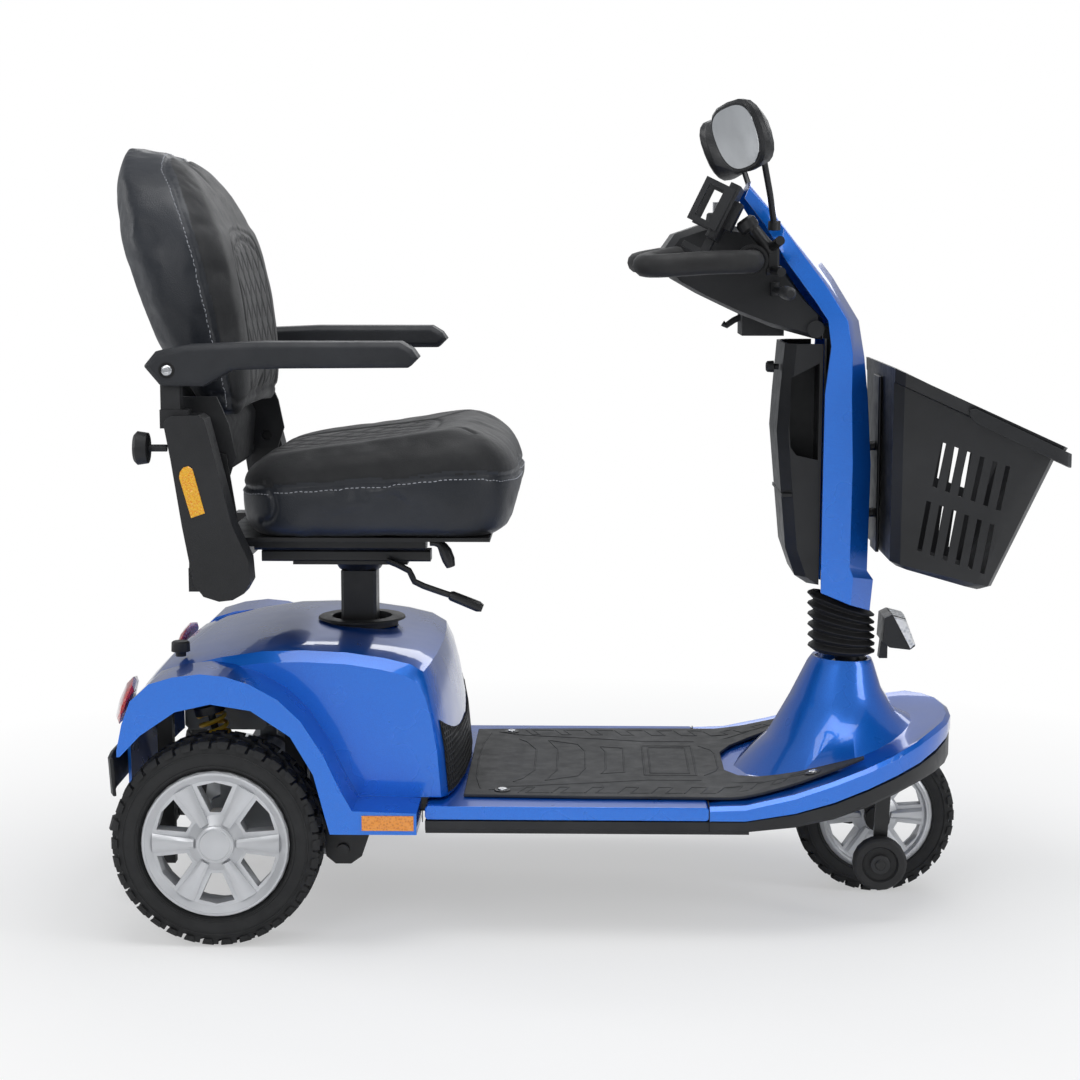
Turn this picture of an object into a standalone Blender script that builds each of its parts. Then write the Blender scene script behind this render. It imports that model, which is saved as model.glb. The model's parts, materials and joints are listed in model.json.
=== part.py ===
"""Three-wheeled mobility scooter: +X forward, +Y to the rider's left, +Z up, ground at Z = 0."""

import math

import bmesh
import bpy
from mathutils import Matrix, Vector

# Overall layout, in metres. Drawing coordinates are moved by CENTRE_X so that the origin is mid-length.
CENTRE_X = 0.0133
GAP = 0.0004
REAR_AXLE = (-0.467, 0.133)
REAR_TYRE_RADIUS = 0.133
REAR_TYRE_WIDTH = 0.074
REAR_TRACK_HALF = 0.248
FRONT_AXLE = (0.392, 0.108)
FRONT_TYRE_RADIUS = 0.108
FRONT_TYRE_WIDTH = 0.062
HOOD_HALF = 0.208
FENDER_HALF = 0.288
SHELL = 0.004
DECK_HALF = 0.235
DECK_TOP = 0.171
DECK_REAR = -0.207
DECK_SEAM = 0.154
NOSE_START = 0.200
NOSE_LENGTH = 0.290
NOSE_POWER = 2.3
SEAT_POST_X = -0.311
TILLER_PIVOT = (0.345, 0.372)
STEER_RAKE = math.atan2(0.049, 0.264)
SEAT_HALF = 0.225
BACK_FOLD = (-0.468, 0.604)

MATERIALS = {
    "blue_paint": ((0.004, 0.115, 0.56), 0.22, 0.35),
    "black_plastic": ((0.018, 0.019, 0.022), 0.55, 0.0),
    "black_steel": ((0.02, 0.02, 0.022), 0.4, 0.3),
    "black_rubber": ((0.016, 0.016, 0.017), 0.75, 0.0),
    "tyre_rubber": ((0.02, 0.021, 0.023), 0.85, 0.0),
    "silver_rim": ((0.62, 0.63, 0.64), 0.35, 0.6),
    "mat_rubber": ((0.028, 0.029, 0.032), 0.8, 0.0),
    "seat_vinyl": ((0.024, 0.028, 0.036), 0.55, 0.0),
    "red_lens": ((0.5, 0.01, 0.008), 0.15, 0.0),
    "yellow_spring": ((0.85, 0.45, 0.02), 0.35, 0.2),
    "grey_alloy": ((0.35, 0.36, 0.37), 0.45, 0.7),
    "battery_case": ((0.05, 0.05, 0.055), 0.5, 0.0),
    "steel": ((0.6, 0.61, 0.62), 0.3, 1.0),
}


def clear_scene():
    """Empty the start-up scene."""
    for obj in list(bpy.data.objects):
        bpy.data.objects.remove(obj, do_unlink=True)


def material(name):
    """The named material, made on first use."""
    found = bpy.data.materials.get(name)
    if found:
        return found
    colour, roughness, metallic = MATERIALS[name]
    made = bpy.data.materials.new(name)
    made.use_nodes = True
    shader = made.node_tree.nodes["Principled BSDF"]
    shader.inputs["Base Color"].default_value = (*colour, 1.0)
    shader.inputs["Roughness"].default_value = roughness
    shader.inputs["Metallic"].default_value = metallic
    return made


def make(name, verts, faces, slot, pivot=(0, 0, 0), sharp=35, cutter=False):
    """One closed mesh object from drawing coordinates, with its origin at the pivot."""
    origin = Vector(pivot)
    mesh = bpy.data.meshes.new(name)
    mesh.from_pydata([Vector(v) - origin for v in verts], [], faces)
    work = bmesh.new()
    work.from_mesh(mesh)
    bmesh.ops.remove_doubles(work, verts=work.verts, dist=1e-6)
    bmesh.ops.recalc_face_normals(work, faces=work.faces)
    work.to_mesh(mesh)
    work.free()
    obj = bpy.data.objects.new(name, mesh)
    bpy.context.scene.collection.objects.link(obj)
    obj.location = origin + Vector((CENTRE_X, 0, 0))
    if cutter:
        obj.hide_render = True
        obj.display_type = "WIRE"
        return obj
    mesh.materials.append(material(slot))
    mesh.shade_smooth()
    mesh.set_sharp_from_angle(angle=math.radians(sharp))
    return obj


def add_boolean(obj, other, operation):
    """Join or cut with a hidden helper object."""
    step = obj.modifiers.new(f"{operation.lower()}_{other.name}", "BOOLEAN")
    step.operation = operation
    step.solver = "EXACT"
    step.object = other
    return obj


class Shape:
    """Vertices and faces of a closed shape, which can be added to others that don't touch it."""

    def __init__(self, verts=(), faces=()):
        self.verts = [tuple(v) for v in verts]
        self.faces = [tuple(f) for f in faces]

    def moved(self, matrix):
        return Shape([tuple(matrix @ Vector(v)) for v in self.verts], self.faces)

    def turned(self, degrees, axis, about):
        pivot = Matrix.Translation(about)
        turn = Matrix.Rotation(math.radians(degrees), 4, axis)
        return self.moved(pivot @ turn @ pivot.inverted())

    def mirrored(self):
        return Shape([(x, -y, z) for x, y, z in self.verts], [f[::-1] for f in self.faces])


def loft(rings, caps=True):
    """A closed skin through rings that all have the same number of points."""
    count = len(rings[0])
    verts = [v for ring in rings for v in ring]
    faces = []
    for i in range(len(rings) - 1):
        for j in range(count):
            k = (j + 1) % count
            a, b = i * count, (i + 1) * count
            faces.append((a + j, a + k, b + k, b + j))
    if caps:
        faces.append(tuple(range(count))[::-1])
        faces.append(tuple(range(len(verts) - count, len(verts))))
    return Shape(verts, faces)


def loop_loft(rings):
    """As loft, with the last ring joined back to the first."""
    count = len(rings[0])
    shape = loft(rings, caps=False)
    last = (len(rings) - 1) * count
    for j in range(count):
        k = (j + 1) % count
        shape.faces.append((last + j, last + k, k, j))
    return shape


def plate(outline, low, high):
    """An XZ outline pulled along Y."""
    return loft([[(x, low, z) for x, z in outline], [(x, high, z) for x, z in outline]])


def slab(outline, low, high):
    """An XY outline pulled along Z."""
    return loft([[(x, y, low) for x, y in outline], [(x, y, high) for x, y in outline]])


def box(x0, x1, y0, y1, z0, z1, chamfer=0.0):
    """A box, with its four edges along X, Y or Z's longest side cut off by the chamfer."""
    c = chamfer
    if not c:
        return slab([(x0, y0), (x1, y0), (x1, y1), (x0, y1)], z0, z1)
    spans = (x1 - x0, y1 - y0, z1 - z0)
    along = spans.index(max(spans))
    lows, highs = (x0, y0, z0), (x1, y1, z1)
    u, v = [k for k in range(3) if k != along]
    ul, uh, vl, vh = lows[u], highs[u], lows[v], highs[v]
    corner = [(ul + c, vl), (uh - c, vl), (uh, vl + c), (uh, vh - c)]
    corner += [(uh - c, vh), (ul + c, vh), (ul, vh - c), (ul, vl + c)]
    rings = []
    for end in (lows[along], highs[along]):
        ring = []
        for p, q in corner:
            point = [0.0, 0.0, 0.0]
            point[along], point[u], point[v] = end, p, q
            ring.append(tuple(point))
        rings.append(ring)
    return loft(rings)


def circle(centre, radius, normal, segments, start=0.0):
    """A ring of points about a centre, facing along the normal."""
    normal = Vector(normal).normalized()
    side = Vector((0, 0, 1)) if abs(normal.z) < 0.9 else Vector((1, 0, 0))
    u = normal.cross(side).normalized()
    v = normal.cross(u)
    ring = []
    for i in range(segments):
        t = 2 * math.pi * i / segments + start
        ring.append(tuple(Vector(centre) + radius * (math.cos(t) * u + math.sin(t) * v)))
    return ring


def rod(start, end, radius, segments=12, end_radius=None):
    """A round bar between two points."""
    along = Vector(end) - Vector(start)
    far = radius if end_radius is None else end_radius
    return loft([circle(start, radius, along, segments), circle(end, far, along, segments)])


def turned_solid(stations, origin, axis, segments=24):
    """A solid of revolution: (distance along the axis, radius) pairs, closed at both ends."""
    axis = Vector(axis).normalized()
    rings = [
        circle(Vector(origin) + axis * along, max(radius, 1e-4), axis, segments)
        for along, radius in stations
    ]
    return loft(rings)


def ring_solid(section, origin, axis, segments=32):
    """A closed (along, radius) section swept right round an axis that it doesn't touch."""
    axis = Vector(axis).normalized()
    rings = [
        circle(Vector(origin) + axis * along, radius, axis, segments)
        for along, radius in section
    ]
    return loop_loft(rings)


def smooth_path(points, steps=4):
    """Catmull-Rom points through the given ones."""
    pts = [Vector(p) for p in points]
    out = []
    for i in range(len(pts) - 1):
        a = pts[max(i - 1, 0)]
        b, c = pts[i], pts[i + 1]
        d = pts[min(i + 2, len(pts) - 1)]
        for k in range(steps):
            t = k / steps
            out.append(
                0.5 * (2 * b + (c - a) * t + (2 * a - 5 * b + 4 * c - d) * t**2
                       + (3 * b - a - 3 * c + d) * t**3)
            )
    out.append(pts[-1])
    return out


def swept(path, radius, segments=10, closed=False):
    """A round tube along a path of points, without twist. Radius may be a list."""
    pts = [Vector(p) for p in path]
    count = len(pts)
    radii = radius if isinstance(radius, list) else [radius] * count
    rings = []
    normal = None
    for i, point in enumerate(pts):
        before = pts[i - 1] if i or closed else pts[i]
        after = pts[(i + 1) % count] if i < count - 1 or closed else pts[i]
        along = (after - before).normalized()
        if normal is None:
            side = Vector((0, 0, 1)) if abs(along.z) < 0.9 else Vector((1, 0, 0))
            normal = along.cross(side).normalized()
        normal = (normal - along * normal.dot(along)).normalized()
        other = along.cross(normal)
        ring = []
        for k in range(segments):
            t = 2 * math.pi * k / segments
            ring.append(tuple(point + radii[i] * (math.cos(t) * normal + math.sin(t) * other)))
        rings.append(ring)
    return loop_loft(rings) if closed else loft(rings)


def merged(name, shapes, slot, pivot=(0, 0, 0), sharp=35, cuts=()):
    """One object from shapes that overlap one another, less the cuts."""
    first, *others = shapes
    obj = make(name, first.verts, first.faces, slot, pivot, sharp)
    for k, shape in enumerate(others):
        helper = make(f"{name}_add{k}", shape.verts, shape.faces, slot, cutter=True)
        add_boolean(obj, helper, "UNION")
    for k, shape in enumerate(cuts):
        helper = make(f"{name}_cut{k}", shape.verts, shape.faces, slot, cutter=True)
        add_boolean(obj, helper, "DIFFERENCE")
    return obj


def blend_table(table, x):
    """Straight-line value from a table of (x, value) pairs."""
    if x <= table[0][0]:
        return table[0][1]
    for (x0, v0), (x1, v1) in zip(table, table[1:]):
        if x <= x1:
            return v0 + (v1 - v0) * (x - x0) / (x1 - x0)
    return table[-1][1]


def offset_outline(points, distance):
    """A closed XZ outline moved inward by the distance."""
    area = sum(
        a[0] * b[1] - b[0] * a[1] for a, b in zip(points, points[1:] + points[:1])
    )
    turn = 1 if area > 0 else -1
    out = []
    for i, point in enumerate(points):
        before = Vector(points[i - 1])
        here = Vector(point)
        after = Vector(points[(i + 1) % len(points)])
        d1 = (here - before).normalized()
        d2 = (after - here).normalized()
        n1 = Vector((-d1.y, d1.x)) * turn
        n2 = Vector((-d2.y, d2.x)) * turn
        middle = (n1 + n2).normalized()
        reach = distance / max(middle.dot(n1), 0.4)
        out.append(tuple(here + middle * reach))
    return out


def cell_solid(xs, ys_at, keep, low, high):
    """A plate over a grid of cells: ys_at(x) gives the grid lines, keep(i, j) says which cells are solid."""
    grid = [[(x, y) for y in ys_at(x)] for x in xs]
    rows, cols = len(xs), len(grid[0])
    verts = [(x, y, low(x)) for row in grid for x, y in row]
    verts += [(x, y, high(x)) for row in grid for x, y in row]
    top = rows * cols
    faces = []

    def index(i, j):
        return i * cols + j

    def solid(i, j):
        return 0 <= i < rows - 1 and 0 <= j < cols - 1 and keep(i, j)

    for i in range(rows - 1):
        for j in range(cols - 1):
            if not solid(i, j):
                continue
            a, b, c, d = index(i, j), index(i + 1, j), index(i + 1, j + 1), index(i, j + 1)
            faces.append((a, d, c, b))
            faces.append((a + top, b + top, c + top, d + top))
            sides = [((i, j - 1), a, b), ((i + 1, j), b, c), ((i, j + 1), c, d), ((i - 1, j), d, a)]
            for (ni, nj), p, q in sides:
                if not solid(ni, nj):
                    faces.append((p, q, q + top, p + top))
    used = sorted({v for f in faces for v in f})
    renumber = {old: new for new, old in enumerate(used)}
    return Shape([verts[v] for v in used], [tuple(renumber[v] for v in f) for f in faces])


def both_sides(builder):
    """Call builder(side, tag) for the rider's left (+1) and right (-1)."""
    for side, tag in ((1, "left"), (-1, "right")):
        builder(side, tag)


# ---------------------------------------------------------------- wheels


def road_wheel(name, centre, radius, bead, width, side, bore, through=False):
    """Tyre and six-spoke rim; the open face of the rim looks along Y * side."""
    half = width / 2
    axis = (0, side, 0)
    section = [
        (-0.80 * half, bead),
        (-half, bead + 0.35 * (radius - bead)),
        (-0.97 * half, bead + 0.72 * (radius - bead)),
        (-0.66 * half, radius - 0.0025),
        (0.0, radius),
        (0.66 * half, radius - 0.0025),
        (0.97 * half, bead + 0.72 * (radius - bead)),
        (half, bead + 0.35 * (radius - bead)),
        (0.80 * half, bead),
    ]
    tyre = ring_solid(section, centre, axis, 28)
    make(f"{name}_tyre", tyre.verts, tyre.faces, "tyre_rubber", centre, sharp=50)
    k = bead / 0.094
    edge = bead - GAP
    stations = [
        (-0.74 * half, 0.0),
        (-0.74 * half, 0.024 * k),
        (0.10 * half, 0.026 * k),
        (0.24 * half, 0.082 * k),
        (-0.74 * half, 0.085 * k),
        (-0.76 * half, edge),
        (0.90 * half, edge),
        (0.98 * half, edge - 0.004),
        (0.80 * half, 0.081 * k),
        (0.72 * half, 0.036 * k),
        (0.90 * half, 0.025 * k),
        (0.98 * half, 0.019 * k),
        (0.98 * half, 0.0),
    ]
    rim = turned_solid(stations, centre, axis, 28)
    rim_obj = make(f"{name}_rim", rim.verts, rim.faces, "silver_rim", centre)
    windows = Shape()
    for i in range(6):
        turn = math.radians(90 + 60 * i)
        corners = [(0.040, -10.0), (0.0765, -17.0), (0.0785, 0.0), (0.0765, 17.0), (0.040, 10.0)]
        flat = []
        for r, spread in corners:
            t = turn + math.radians(spread)
            flat.append((centre[0] + r * k * math.cos(t), centre[2] + r * k * math.sin(t)))
        window = plate(flat, centre[1] - half, centre[1] + half)
        start = len(windows.verts)
        windows.verts += window.verts
        windows.faces += [tuple(start + v for v in f) for f in window.faces]
    cutter = make(f"{name}_windows", windows.verts, windows.faces, "silver_rim", cutter=True)
    add_boolean(rim_obj, cutter, "DIFFERENCE")
    back = Vector(centre) - Vector(axis) * half
    front = Vector(centre) + Vector(axis) * (1.2 * half if through else 0.5 * half)
    hole = rod(back, front, bore, 16)
    drill = make(f"{name}_bore", hole.verts, hole.faces, "silver_rim", cutter=True)
    add_boolean(rim_obj, drill, "DIFFERENCE")


def caster_wheel(name, centre, radius, width, bore, side):
    """Small solid wheel with a recessed outer face."""
    half = width / 2
    section = [
        (-half, bore),
        (-half, 0.55 * radius),
        (-half, 0.9 * radius),
        (-0.7 * half, radius),
        (0.7 * half, radius),
        (half, 0.9 * radius),
        (half, 0.68 * radius),
        (0.5 * half, 0.62 * radius),
        (0.5 * half, bore),
    ]
    wheel = ring_solid(section, centre, (0, side, 0), 20)
    make(name, wheel.verts, wheel.faces, "black_rubber", centre, sharp=50)


def wheels():
    def rear(side, tag):
        centre = (REAR_AXLE[0], side * REAR_TRACK_HALF, REAR_AXLE[1])
        road_wheel(f"rear_{tag}", centre, REAR_TYRE_RADIUS, 0.094, REAR_TYRE_WIDTH, side, 0.0104)

    both_sides(rear)
    centre = (FRONT_AXLE[0], 0.0, FRONT_AXLE[1])
    road_wheel("front", centre, FRONT_TYRE_RADIUS, 0.0775, FRONT_TYRE_WIDTH, -1, 0.0106, through=True)


# ---------------------------------------------------------------- frame and drive


def steer_point(z, along_y=0.0):
    """A point on the raked steering axis at height z."""
    x = FRONT_AXLE[0] - (z - FRONT_AXLE[1]) * math.tan(STEER_RAKE)
    return (x, along_y, z)


def chassis_frame():
    low, high = 0.1395, 0.1645
    shapes = []
    for s in (1, -1):
        y0, y1 = sorted((s * 0.115, s * 0.143))
        shapes.append(box(-0.362, 0.245, y0, y1, low, high, 0.004))
        rise = [(0.238, low), (0.40, 0.172), (0.40, 0.194), (0.232, high)]
        shapes.append(plate(rise, y0, y1))
        shapes.append(box(-0.397, -0.372, y0, y1, low + 0.002, 0.318))
        shapes.append(box(-0.400, -0.355, y0 + 0.003, y1 - 0.003, low + 0.003, high - 0.002))
        shapes.append(box(-0.564, -0.380, y0 + 0.004, y1 - 0.004, 0.288, 0.312))
        shapes.append(box(-0.566, -0.546, y0 + 0.006, y1 - 0.006, 0.066, 0.300))
        outer = sorted((s * 0.139, s * 0.1515))
        shapes.append(box(0.372, 0.396, *outer, 0.175, 0.190))
        outer = sorted((s * 0.1455, s * 0.1515))
        strut = [(0.377, 0.188), (0.372, 0.080), (0.375, 0.070), (0.386, 0.070), (0.389, 0.080), (0.396, 0.186)]
        shapes.append(plate(strut, *outer))
        shapes.append(rod((0.380, s * 0.146, 0.080), (0.380, s * 0.172, 0.080), 0.0056, 12))
        ear = sorted((s * 0.188, s * 0.196))
        bracket = [(-0.345, 0.158), (-0.270, 0.158), (-0.292, 0.094), (-0.306, 0.084), (-0.326, 0.084), (-0.338, 0.094)]
        shapes.append(plate(bracket, *ear))
        tie = sorted((s * 0.138, s * 0.192))
        shapes.append(box(-0.340, -0.275, *tie, 0.142, 0.156))
        shapes.append(rod((-0.316, s * 0.150, 0.103), (-0.316, s * 0.201, 0.103), 0.008, 16))
        brace = [(0.250, s * 0.124, 0.152), (0.298, s * 0.075, 0.196), (0.322, s * 0.045, 0.252), (0.354, s * 0.006, 0.262)]
        shapes.append(swept(brace, 0.008, 8))
    for x0, x1 in ((-0.362, -0.262), (-0.205, -0.180), (0.0, 0.025), (0.205, 0.230)):
        shapes.append(box(x0, x1, -0.128, 0.128, low + 0.004, high - 0.0045))
    shapes.append(rod((-0.4935, -0.190, 0.305), (-0.4935, 0.190, 0.305), 0.008, 12))
    shapes.append(rod((-0.556, -0.125, 0.280), (-0.556, 0.125, 0.280), 0.009, 12))
    shapes.append(rod(steer_point(0.2480), steer_point(0.318), 0.025, 24))
    half = 0.024
    shapes.append(box(SEAT_POST_X - half, SEAT_POST_X + half, -half, half, 0.1500, 0.441, 0.004))
    post_hole = rod((SEAT_POST_X, 0, 0.19), (SEAT_POST_X, 0, 0.46), 0.0200, 24)
    bore = rod(steer_point(0.20), steer_point(0.36), 0.0172, 24)
    merged("chassis_frame", shapes, "black_steel", cuts=[bore, post_hole])


def drive_unit():
    """Transaxle, motor and the two trailing arms, which swing together on the rear suspension pivot."""
    x, z = REAR_AXLE
    shapes = [
        turned_solid([(-0.2196, 0.014), (-0.08, 0.018), (-0.045, 0.046), (-0.03, 0.056), (0.03, 0.056),
                      (0.045, 0.041), (0.150, 0.041), (0.158, 0.030), (0.160, 0.018), (0.2196, 0.014)],
                     (x, 0, z), (0, 1, 0), 20),
        rod((x, -0.256, z), (x, 0.256, z), 0.010, 16),
    ]
    for s in (1, -1):
        inner = sorted((s * 0.164, s * 0.180))
        arm = [(x - 0.024, z - 0.020), (x + 0.02, z - 0.026), (-0.316, 0.088), (-0.302, 0.095), (-0.302, 0.111),
               (-0.316, 0.118), (-0.400, 0.150), (x + 0.005, z + 0.042), (x - 0.022, z + 0.030)]
        shapes.append(plate(arm, *inner))
        shapes.append(box(x - 0.010, x + 0.014, *inner, z + 0.03, z + 0.050))
    cuts = [rod((-0.316, s * 0.155, 0.103), (-0.316, s * 0.185, 0.103), 0.0086, 16) for s in (1, -1)]
    merged("drive_unit", shapes, "grey_alloy", pivot=(-0.316, 0, 0.103), cuts=cuts)


def shock(side, tag):
    """Coil-over shock between a trailing arm and the rear frame tube."""
    bottom = Vector((REAR_AXLE[0] + 0.002, side * 0.172, REAR_AXLE[1] + 0.0530))
    top = Vector((-0.4935, side * 0.172, 0.305 - 0.0090))
    along = top - bottom
    length = along.length
    stations = [(0.0, 0.008), (0.012, 0.008), (0.014, 0.020)]
    coils = 6
    span = length - 0.036
    for i in range(coils):
        start = 0.016 + span * i / coils
        stations += [(start, 0.0150), (start + span / coils * 0.5, 0.0195)]
    stations += [(0.016 + span, 0.0150), (length - 0.016, 0.021), (length - 0.008, 0.021), (length - 0.006, 0.009), (length, 0.009)]
    body = turned_solid(stations, bottom, along, 12)
    make(f"rear_shock_{tag}", body.verts, body.faces, "yellow_spring", tuple(bottom))


def batteries_and_controller():
    outline = [(-0.3625, -0.165), (-0.215, -0.165), (-0.215, 0.165), (-0.3625, 0.165)]
    outline += [(-0.3625, 0.030), (-0.270, 0.030), (-0.270, -0.030), (-0.3625, -0.030)]
    pack = slab(outline, 0.1655, 0.322)
    make("battery_pack", pack.verts, pack.faces, "battery_case")
    unit = box(-0.540, -0.430, -0.080, 0.080, 0.2340, 0.2900, 0.006)
    merged("motor_controller", [unit], "grey_alloy")


def anti_tip_wheels():
    def front(side, tag):
        caster_wheel(f"front_anti_tip_wheel_{tag}", (0.380, side * 0.1630, 0.080), 0.035, 0.020, 0.0060, side)

    both_sides(front)


def rear_loop():
    """Bent bar across the tail with two end blocks."""
    half = [(-0.586, 0.100, 0.118), (-0.618, 0.100, 0.122), (-0.634, 0.098, 0.117), (-0.640, 0.088, 0.100), (-0.641, 0.060, 0.092)]
    path = half + [(x, -y, z) for x, y, z in half[::-1]]
    bar = swept(path, 0.0045, 8)
    shapes = [bar]
    for s in (1, -1):
        y0, y1 = sorted((s * 0.086, s * 0.106))
        shapes.append(box(-0.596, -0.5664, y0, y1, 0.100, 0.130))
        shapes.append(box(-0.600, -0.5664, y0 + 0.004, y1 - 0.004, 0.070, 0.110))
        shapes.append(rod((-0.606, s * 0.084, 0.074), (-0.606, s * 0.108, 0.074), 0.022, 20))
    cross = box(-0.590, -0.5664, -0.100, 0.100, 0.106, 0.124)
    merged("rear_bar", shapes + [cross], "black_steel")


# ---------------------------------------------------------------- bodywork

PAN_LOW = [(0.20, 0.138), (0.25, 0.142), (0.30, 0.149), (0.35, 0.162), (0.39, 0.175), (0.43, 0.187), (0.46, 0.194), (0.49, 0.199)]
BAND_LOW = [(0.20, 0.1535), (0.24, 0.159), (0.29, 0.168), (0.36, 0.190), (0.43, 0.213), (0.47, 0.230), (0.49, 0.236)]
BAND_TOP = [(0.19, DECK_TOP), (0.23, 0.178), (0.275, 0.190), (0.357, 0.215), (0.406, 0.231), (0.45, 0.249), (0.49, 0.257)]


def pan_low(x):
    return blend_table(PAN_LOW, x)


def band_low(x):
    return blend_table(BAND_LOW, x)


def deck_surface(x):
    return blend_table(BAND_TOP, x)


def nose_plan(inset=0.0, count=9):
    """Half of the front outline on the rider's left, from the seam round to the tip: (x, y)."""
    length, width = NOSE_LENGTH - inset, DECK_HALF - inset
    points = [(DECK_SEAM + GAP, width), (NOSE_START, width)]
    for i in range(1, count + 1):
        t = math.pi / 2 * i / count
        x = NOSE_START + length * math.sin(t) ** (2 / NOSE_POWER)
        y = width * max(math.cos(t), 0.0) ** (2 / NOSE_POWER)
        points.append((x, y))
    return points


def full_plan(inset=0.0, count=9):
    """The front outline all round: right seam corner, tip, left seam corner."""
    half = nose_plan(inset, count)
    return [(x, -y) for x, y in half[:-1]] + half[::-1]


def front_cowl():
    """Blue nose: rim band, sloping deck and the cone round the steering head, as one thin shell."""
    def closed(points):
        rear = [(DECK_SEAM + GAP, y) for y in (0.12, 0.0, -0.12)]
        return points + rear

    def clamp(points, inset):
        return [(max(x, DECK_SEAM + GAP + inset), y) for x, y in points]

    outer = closed(full_plan())
    rim = clamp(closed(full_plan(0.006)), 0.0)
    seat = clamp(closed(full_plan(0.020)), 0.0002)
    inner = clamp(closed(full_plan(SHELL)), SHELL)

    def cone(radius_x, radius_y, centre, height, tilt):
        ring = []
        for x, y in outer:
            t = math.atan2(y / DECK_HALF, (x - 0.32) / 0.17)
            px = centre + radius_x * math.cos(t)
            py = radius_y * math.sin(t)
            ring.append((px, py, height + tilt * (px - centre)))
        return ring

    skins = [
        [(x, y, band_low(x)) for x, y in outer],
        [(x, y, deck_surface(x) - 0.005) for x, y in outer],
        [(x, y, deck_surface(x)) for x, y in rim],
        [(x, y, deck_surface(x) - 0.0035) for x, y in seat],
        [(x, y, deck_surface(x) - 0.0035) for x, y, _ in cone(0.120, 0.132, 0.320, 0, 0)],
        cone(0.088, 0.088, 0.330, 0.232, 0.22),
        cone(0.062, 0.062, 0.337, 0.276, 0.08),
        cone(0.045, 0.045, 0.3435, 0.316, -0.05),
        cone(0.041, 0.041, 0.3445, 0.323, -0.05),
    ]
    back = [
        cone(0.036, 0.036, 0.3445, 0.322, -0.05),
        cone(0.041, 0.041, 0.3425, 0.311, -0.05),
        cone(0.058, 0.058, 0.337, 0.272, 0.08),
        cone(0.084, 0.084, 0.330, 0.228, 0.22),
        [(x, y, deck_surface(x) - SHELL - 0.003) for x, y, _ in cone(0.117, 0.129, 0.320, 0, 0)],
        [(x, y, deck_surface(x) - SHELL - 0.003) for x, y in inner],
        [(x, y, band_low(x)) for x, y in inner],
    ]
    shell = loop_loft(skins + back)
    doorway = box(DECK_SEAM - 0.01, DECK_SEAM + 0.0160, -DECK_HALF + 0.010, DECK_HALF - 0.010, 0.140, DECK_TOP - 0.0035)
    merged("front_cowl", [shell], "blue_paint", sharp=40, cuts=[doorway])


def deck_shell():
    """Blue deck tray behind the seam: a top sheet with side bands."""
    outer = box(DECK_REAR, DECK_SEAM, -DECK_HALF, DECK_HALF, 0.1535, DECK_TOP, 0.003)
    inner = box(DECK_REAR - 0.01, DECK_SEAM + 0.01, -DECK_HALF + SHELL, DECK_HALF - SHELL, 0.14, DECK_TOP - SHELL)
    merged("deck_shell", [outer], "blue_paint", cuts=[inner])


def deck_pan():
    """Black lower skirt: a wall that follows the deck's edge and rises at the nose, with a floor under the deck."""
    rear = [(DECK_REAR, y) for y in (-1, -0.5, 0.5, 1)]
    outline = [(DECK_REAR, -DECK_HALF)] + full_plan(0.0015) + [(DECK_REAR, DECK_HALF)]
    inside = [(DECK_REAR, -DECK_HALF + 0.012)] + full_plan(0.012) + [(DECK_REAR, DECK_HALF - 0.012)]
    rings = []
    for (xo, yo), (xi, yi) in zip(outline, inside):
        low, high = pan_low(xo), band_low(xi) - 0.0016
        rings.append([(xo, yo, low + 0.004), (xo, yo, high), (xi, yi, high), (xi, yi, low), (xo, yo * 0.985, low)])
    wall = loft(rings)
    floor = slab([(DECK_REAR, -DECK_HALF + 0.006), (0.205, -DECK_HALF + 0.006), (0.205, DECK_HALF - 0.006), (DECK_REAR, DECK_HALF - 0.006)], 0.1345, 0.1387)
    merged("deck_pan", [wall, floor], "black_plastic")


def floor_mat():
    """Rubber mat that forks round the steering cone."""
    outer = [(-0.160, 0.190), (0.0, 0.197), (0.150, 0.199), (0.200, 0.199), (0.245, 0.193), (0.290, 0.184), (0.330, 0.172), (0.358, 0.160)]
    inner = [(-0.160, 0.050), (0.183, 0.050), (0.200, 0.088), (0.230, 0.116), (0.270, 0.134), (0.310, 0.144), (0.358, 0.152)]
    xs = [-0.160, 0.0, 0.150, 0.184, 0.200, 0.225, 0.250, 0.275, 0.300, 0.330, 0.358]

    def lines(x):
        wide, narrow = blend_table(outer, x), blend_table(inner, x)
        return [-wide, -narrow, narrow, wide]

    def keep(i, j):
        return j != 1 or xs[i + 1] <= 0.1841

    def low(x):
        return deck_surface(x) + 0.0008

    shape = cell_solid(xs, lines, keep, low, lambda x: low(x) + 0.004)
    make("floor_mat", shape.verts, shape.faces, "mat_rubber")


HOOD_OUTLINE = [
    (-0.599, 0.176), (-0.600, 0.236), (-0.593, 0.275), (-0.576, 0.315), (-0.553, 0.338), (-0.520, 0.350),
    (-0.470, 0.362), (-0.416, 0.370), (-0.364, 0.3715), (-0.310, 0.3690), (-0.255, 0.362), (-0.216, 0.354),
    (-0.197, 0.344), (-0.186, 0.322), (-0.177, 0.290), (-0.168, 0.240), (-0.162, 0.176),
]
FENDER_OUTLINE = [
    (-0.587, 0.148), (-0.587, 0.254), (-0.580, 0.287), (-0.569, 0.316), (-0.545, 0.338), (-0.515, 0.347),
    (-0.481, 0.351), (-0.450, 0.348), (-0.419, 0.338), (-0.385, 0.319), (-0.357, 0.292), (-0.330, 0.250),
    (-0.309, 0.205), (-0.294, 0.178), (-0.2135, 0.1755), (-0.2135, 0.148),
]
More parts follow.
